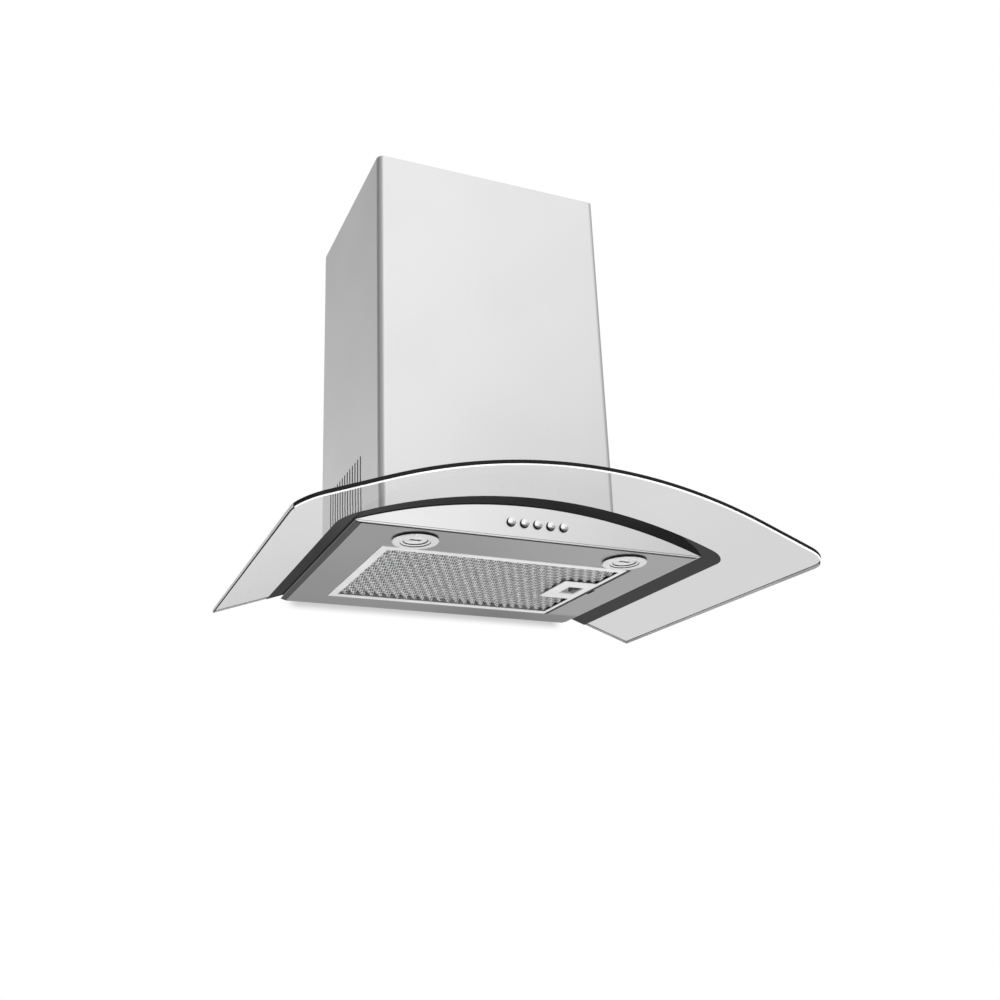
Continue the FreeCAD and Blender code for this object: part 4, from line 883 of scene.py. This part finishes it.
def discPlace(node):
    low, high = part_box(node)
    return ((low.x + high.x) / 2, (low.y + high.y) / 2, low.z), (high.x - low.x) / 2, high.z - low.z


def lensMesh(name, node):
    centre, radius, thick = discPlace(node)
    chamfer, recess = lamp["chamfer"], lamp["recess"]
    profile = [(0, lamp["ringDepth"])]
    count = lamp["rings"] * lamp["ringSteps"]
    for i in range(1, count + 1):
        r = (radius - lamp["rim"]) * i / count
        wave = math.sin(math.pi * i / lamp["ringSteps"]) ** 2
        profile.append((r, chamfer + lamp["ringDepth"] * wave))
    profile += [(radius - chamfer, recess), (radius, chamfer), (radius, thick - chamfer),
                (radius - chamfer, thick), (0, thick)]
    return lathe(name, profile, centre, (0, 0, 1), 72)


def lensSealMesh(name, node):
    centre, radius, _ = discPlace(node)
    wide, lip, recess = lamp["sealWide"], lamp["sealLip"], lamp["recess"]
    profile = [(radius - wide, -recess), (radius - wide + lip, -lip), (radius - lip, -lip),
               (radius, -recess), (radius - wide, -recess)]
    return lathe(name, profile, centre, (0, 0, 1), 72)


def bulbMesh(name, node):
    (x, y, low), _, _ = discPlace(node)
    radius, half = lamp["bulbRadius"], lamp["bulbHalf"]
    profile = [(0, -half)]
    for i in range(1, 9):
        turn = math.pi / 2 * i / 8
        profile.append((radius * math.sin(turn), -half + radius * (1 - math.cos(turn))))
    profile += [(r, -along) for r, along in reversed(profile)]
    return lathe(name, profile, (x, y, low + radius + lamp["bulbLift"]), (1, 0, 0), 32)


def lensGlass():
    # pressed glass that scatters; a dark capsule shape is painted in its middle as the shade where the
    # bulb would show through
    plain = {"Metallic": 0.0, "Transmission Weight": 0.3, "IOR": 1.45}
    material, tree, skin, place = newFinish("lensGlass", plain)
    grain = useGroup(tree, mouldGrain, Place=place, Size=0.8 * mm)
    middle = discPlace("lamp_lens_right")[0]
    parts = axesOf(tree, place)
    across = mathNode(tree, "SUBTRACT", mathNode(tree, "ABSOLUTE", parts[0]), middle[0])
    along = mathNode(tree, "SUBTRACT", parts[1], middle[1])
    long, wide = lamp["bulbHalf"], lamp["bulbRadius"]
    ends = rangeNode(tree, mathNode(tree, "ABSOLUTE", across), 0.6 * long, long, 1.0, 0.0, smooth=True)
    sides = rangeNode(tree, mathNode(tree, "ABSOLUTE", along), 0.4 * wide, wide, 1.0, 0.0, smooth=True)
    capsule = product(tree, ends, sides)
    frosted = mixColour(tree, grain["Cloud"], *(grey(shade) for shade in lamp["frost"]))
    colour = mixColour(tree, capsule, frosted, grey(lamp["capsuleShade"]))
    tree.links.new(colour, skin.inputs["Base Color"])
    tree.links.new(rangeNode(tree, grain["Cloud"], 0, 1, 0.10, 0.16), skin.inputs["Roughness"])
    return material


def smokedGlass():
    material, tree, skin, place = newFinish("bulbGlass", {"Metallic": 0.0, "IOR": 1.45})
    grain = useGroup(tree, mouldGrain, Place=place, Size=1.0 * mm)
    colour = mixColour(tree, grain["Cloud"], *(grey(shade) for shade in lamp["smoke"]))
    tree.links.new(colour, skin.inputs["Base Color"])
    tree.links.new(rangeNode(tree, grain["Cloud"], 0, 1, 0.08, 0.12), skin.inputs["Roughness"])
    return material


lensFinish, bulbFinish = lensGlass(), smokedGlass()
for side in ("left", "right"):
    title, lensNode, bulbNode = side.capitalize(), "lamp_lens_" + side, "lamp_bulb_" + side
    lens = addPiece("lens" + title, lensMesh("lens" + title, lensNode), "hood", lensFinish,
                    [lensNode])
    lens.visible_shadow = False
    addPiece("lensSeal" + title, lensSealMesh("lensSeal" + title, lensNode), "hood",
             finishes["sealRubber"])
    addPiece("bulb" + title, bulbMesh("bulb" + title, bulbNode), "hood", bulbFinish,
             [bulbNode])
print("lamps made")


# floor, wall shade, world and lamps of the studio
studio = {
    "floorLevel": -1.9,
    "floorHalf": 30.0,
    "floorShade": 0.86,
    "skyDiffuse": 0.66,
    "throughGlass": (0.765, 0.70),      # backdrop as it looks through the glass, left and right
    "lampSize": 1.8,
    "lowLampSize": 1.2,
    "keyPower": 34.0,
    "fillPower": 14.0,
    "lowPower": 9.0,
    "aim": (0, -0.22, -0.15),
}
wallShade = {
    "half": 0.22,
    "top": 1 * mm,              # over and under the panel's underside
    "bottom": 20 * mm,
    "fade": 13 * mm,
    "ends": (0.185, 0.207),
    "dark": 0.4,
    "behind": 0.2 * mm,
}
room = {
    # what metal sees: where a range of the direction starts and ends, then the value at each
    "ahead": (0.25, 0.5, 1.14, 1.00),
    "lowRightAcross": (0.38, 0.54),
    "lowRightLevel": (0.42, 0.31),
    "lowRightDark": 0.46,
    "behind": (0.26, 0.5, 0.80, 0.59),
    "aheadToBehind": (-0.5, 0.2),
    "leftCard": (-0.15, -0.55, 0.0, 0.62),
    "leftCardStart": (-0.97, -0.75),
    "leftCardEnd": (0.82, 0.55),
    "rightCard": (0.60, 0.95, 0.0, 0.40),
    "rightCardLevel": (0.1, 0.2),
    "nearLevel": (-0.26, -0.30),
    "nearAcross": (0.38, 0.48),
    "wallSide": (0.14, 0.44),
    "underLevel": (-0.45, -0.58),
    "underLight": 0.75,
    "front": (-0.35, -0.65, 0.08, 0.15),
    "frontToWall": (0.0, 0.6),
    "horizon": (0.0, 0.16),
    "backdrop": (0.27, 0.45),
}


def flatSheet(name, corners, material):
    mesh = bpy.data.meshes.new(name)
    mesh.from_pydata(corners, [], [(0, 1, 2, 3)])
    mesh.materials.append(material)
    sheet = bpy.data.objects.new(name, mesh)
    bpy.context.scene.collection.objects.link(sheet)
    return sheet


def floorFinish():
    material, tree, end = bareMaterial("paleFloor")
    path = addNode(tree, "ShaderNodeLightPath")
    seen = mathNode(tree, "MAXIMUM", path.outputs["Is Camera Ray"], path.outputs["Is Transmission Ray"])
    matt = addNode(tree, "ShaderNodeBsdfDiffuse", {"Color": grey(studio["floorShade"])})
    level = rangeNode(tree, path.outputs["Is Camera Ray"], 0.0, 1.0, studio["throughGlass"][0], 1.0)
    glow = addNode(tree, "ShaderNodeEmission", {"Strength": level})
    both = addNode(tree, "ShaderNodeMixShader", {0: seen, 1: matt.outputs[0], 2: glow.outputs[0]})
    tree.links.new(both.outputs[0], end.inputs[0])
    return material


def wallShadeFinish():
    # white, with a painted soft shadow under the body's rear edge; only seen from the front
    material, tree, end = bareMaterial("wallShade")
    across, _, level = axesOf(tree, addNode(tree, "ShaderNodeTexCoord").outputs["Object"])
    fade = rangeNode(tree, level, panelLevel - wallShade["fade"], panelLevel, smooth=True)
    inner, outer = wallShade["ends"]
    ends = rangeNode(tree, mathNode(tree, "ABSOLUTE", across), inner, outer, 1.0, 0.0, smooth=True)
    dark = product(tree, fade, ends, wallShade["dark"])
    glow = addNode(tree, "ShaderNodeEmission", {"Strength": mathNode(tree, "SUBTRACT", 1.0, dark)})
    clear = addNode(tree, "ShaderNodeBsdfTransparent")
    back = addNode(tree, "ShaderNodeNewGeometry").outputs["Backfacing"]
    mixed = addNode(tree, "ShaderNodeMixShader", {0: back, 1: glow.outputs[0], 2: clear.outputs[0]})
    tree.links.new(mixed.outputs[0], end.inputs[0])
    return material


def makeStage():
    half, level = studio["floorHalf"], studio["floorLevel"]
    floor = flatSheet("floor", [(-half, -half, level), (half, -half, level), (half, half, level),
                                (-half, half, level)], floorFinish())
    floor.visible_glossy = False
    top, bottom = panelLevel + wallShade["top"], panelLevel - wallShade["bottom"]
    side, behind = wallShade["half"], wallShade["behind"]
    shade = flatSheet("wallShade", [(-side, behind, bottom), (side, behind, bottom), (side, behind, top),
                                    (-side, behind, top)], wallShadeFinish())
    for flag in ("visible_diffuse", "visible_glossy", "visible_transmission", "visible_shadow"):
        setattr(shade, flag, False)


def blend(tree, value, key):
    return rangeNode(tree, value, *room[key], smooth=True)


def makeWorld():
    # white to the eye and through glass; metal sees a room that is bright ahead and above, dim below
    world = bpy.data.worlds.new("studioRoom")
    bpy.context.scene.world = world
    world.use_nodes = True
    tree = world.node_tree
    tree.nodes.clear()
    end = tree.nodes.new("ShaderNodeOutputWorld")
    path = addNode(tree, "ShaderNodeLightPath").outputs
    x, y, z = axesOf(tree, addNode(tree, "ShaderNodeTexCoord").outputs["Generated"])
    lowRight = product(tree, blend(tree, x, "lowRightAcross"), blend(tree, z, "lowRightLevel"),
                       room["lowRightDark"])
    ahead = mathNode(tree, "SUBTRACT", blend(tree, x, "ahead"), lowRight)
    upper = mixValue(tree, blend(tree, y, "aheadToBehind"), ahead, blend(tree, z, "behind"))
    leftCard = product(tree, blend(tree, x, "leftCard"), blend(tree, y, "leftCardStart"),
                       blend(tree, y, "leftCardEnd"))
    rightCard = product(tree, blend(tree, x, "rightCard"), blend(tree, z, "rightCardLevel"))
    cards = mathNode(tree, "SUBTRACT", 1.0, mathNode(tree, "ADD", leftCard, rightCard))
    upper = product(tree, upper, cards)
    near = mathNode(tree, "MAXIMUM", blend(tree, z, "nearLevel"), blend(tree, x, "nearAcross"))
    wallSide = rangeNode(tree, near, 0.0, 1.0, *room["wallSide"])
    wallSide = mixValue(tree, blend(tree, z, "underLevel"), wallSide, room["underLight"])
    lower = mixValue(tree, blend(tree, y, "frontToWall"), blend(tree, y, "front"), wallSide)
    seenByMetal = mixValue(tree, blend(tree, z, "horizon"), lower, upper)
    seen = mixValue(tree, path["Is Glossy Ray"], studio["skyDiffuse"], seenByMetal)
    backdrop = rangeNode(tree, x, *room["backdrop"], *studio["throughGlass"], smooth=True)
    through = mixValue(tree, path["Is Transmission Ray"], seen, backdrop)
    strength = mixValue(tree, path["Is Camera Ray"], through, 1.0)
    back = addNode(tree, "ShaderNodeBackground", {"Color": grey(1.0), "Strength": strength})
    tree.links.new(back.outputs[0], end.inputs[0])


def areaLamp(name, place, power, size):
    data = bpy.data.lights.new(name, "AREA")
    data.energy = power
    data.size = size
    lampObject = bpy.data.objects.new(name, data)
    lampObject.location = place
    away = Vector(studio["aim"]) - Vector(place)
    lampObject.rotation_euler = away.to_track_quat("-Z", "Y").to_euler()
    for flag in ("visible_camera", "visible_glossy", "visible_transmission"):
        setattr(lampObject, flag, False)
    bpy.context.scene.collection.objects.link(lampObject)


makeStage()
makeWorld()
areaLamp("keyLamp", (-1.5, -2.3, 1.7), studio["keyPower"], studio["lampSize"])
areaLamp("fillLamp", (2.0, -1.2, 0.4), studio["fillPower"], studio["lampSize"])
areaLamp("rearLamp", (0.8, 1.9, 1.4), studio["fillPower"], studio["lampSize"])
areaLamp("lowLamp", (0.2, -0.8, -1.5), studio["lowPower"], studio["lowLampSize"])
print("studio made")
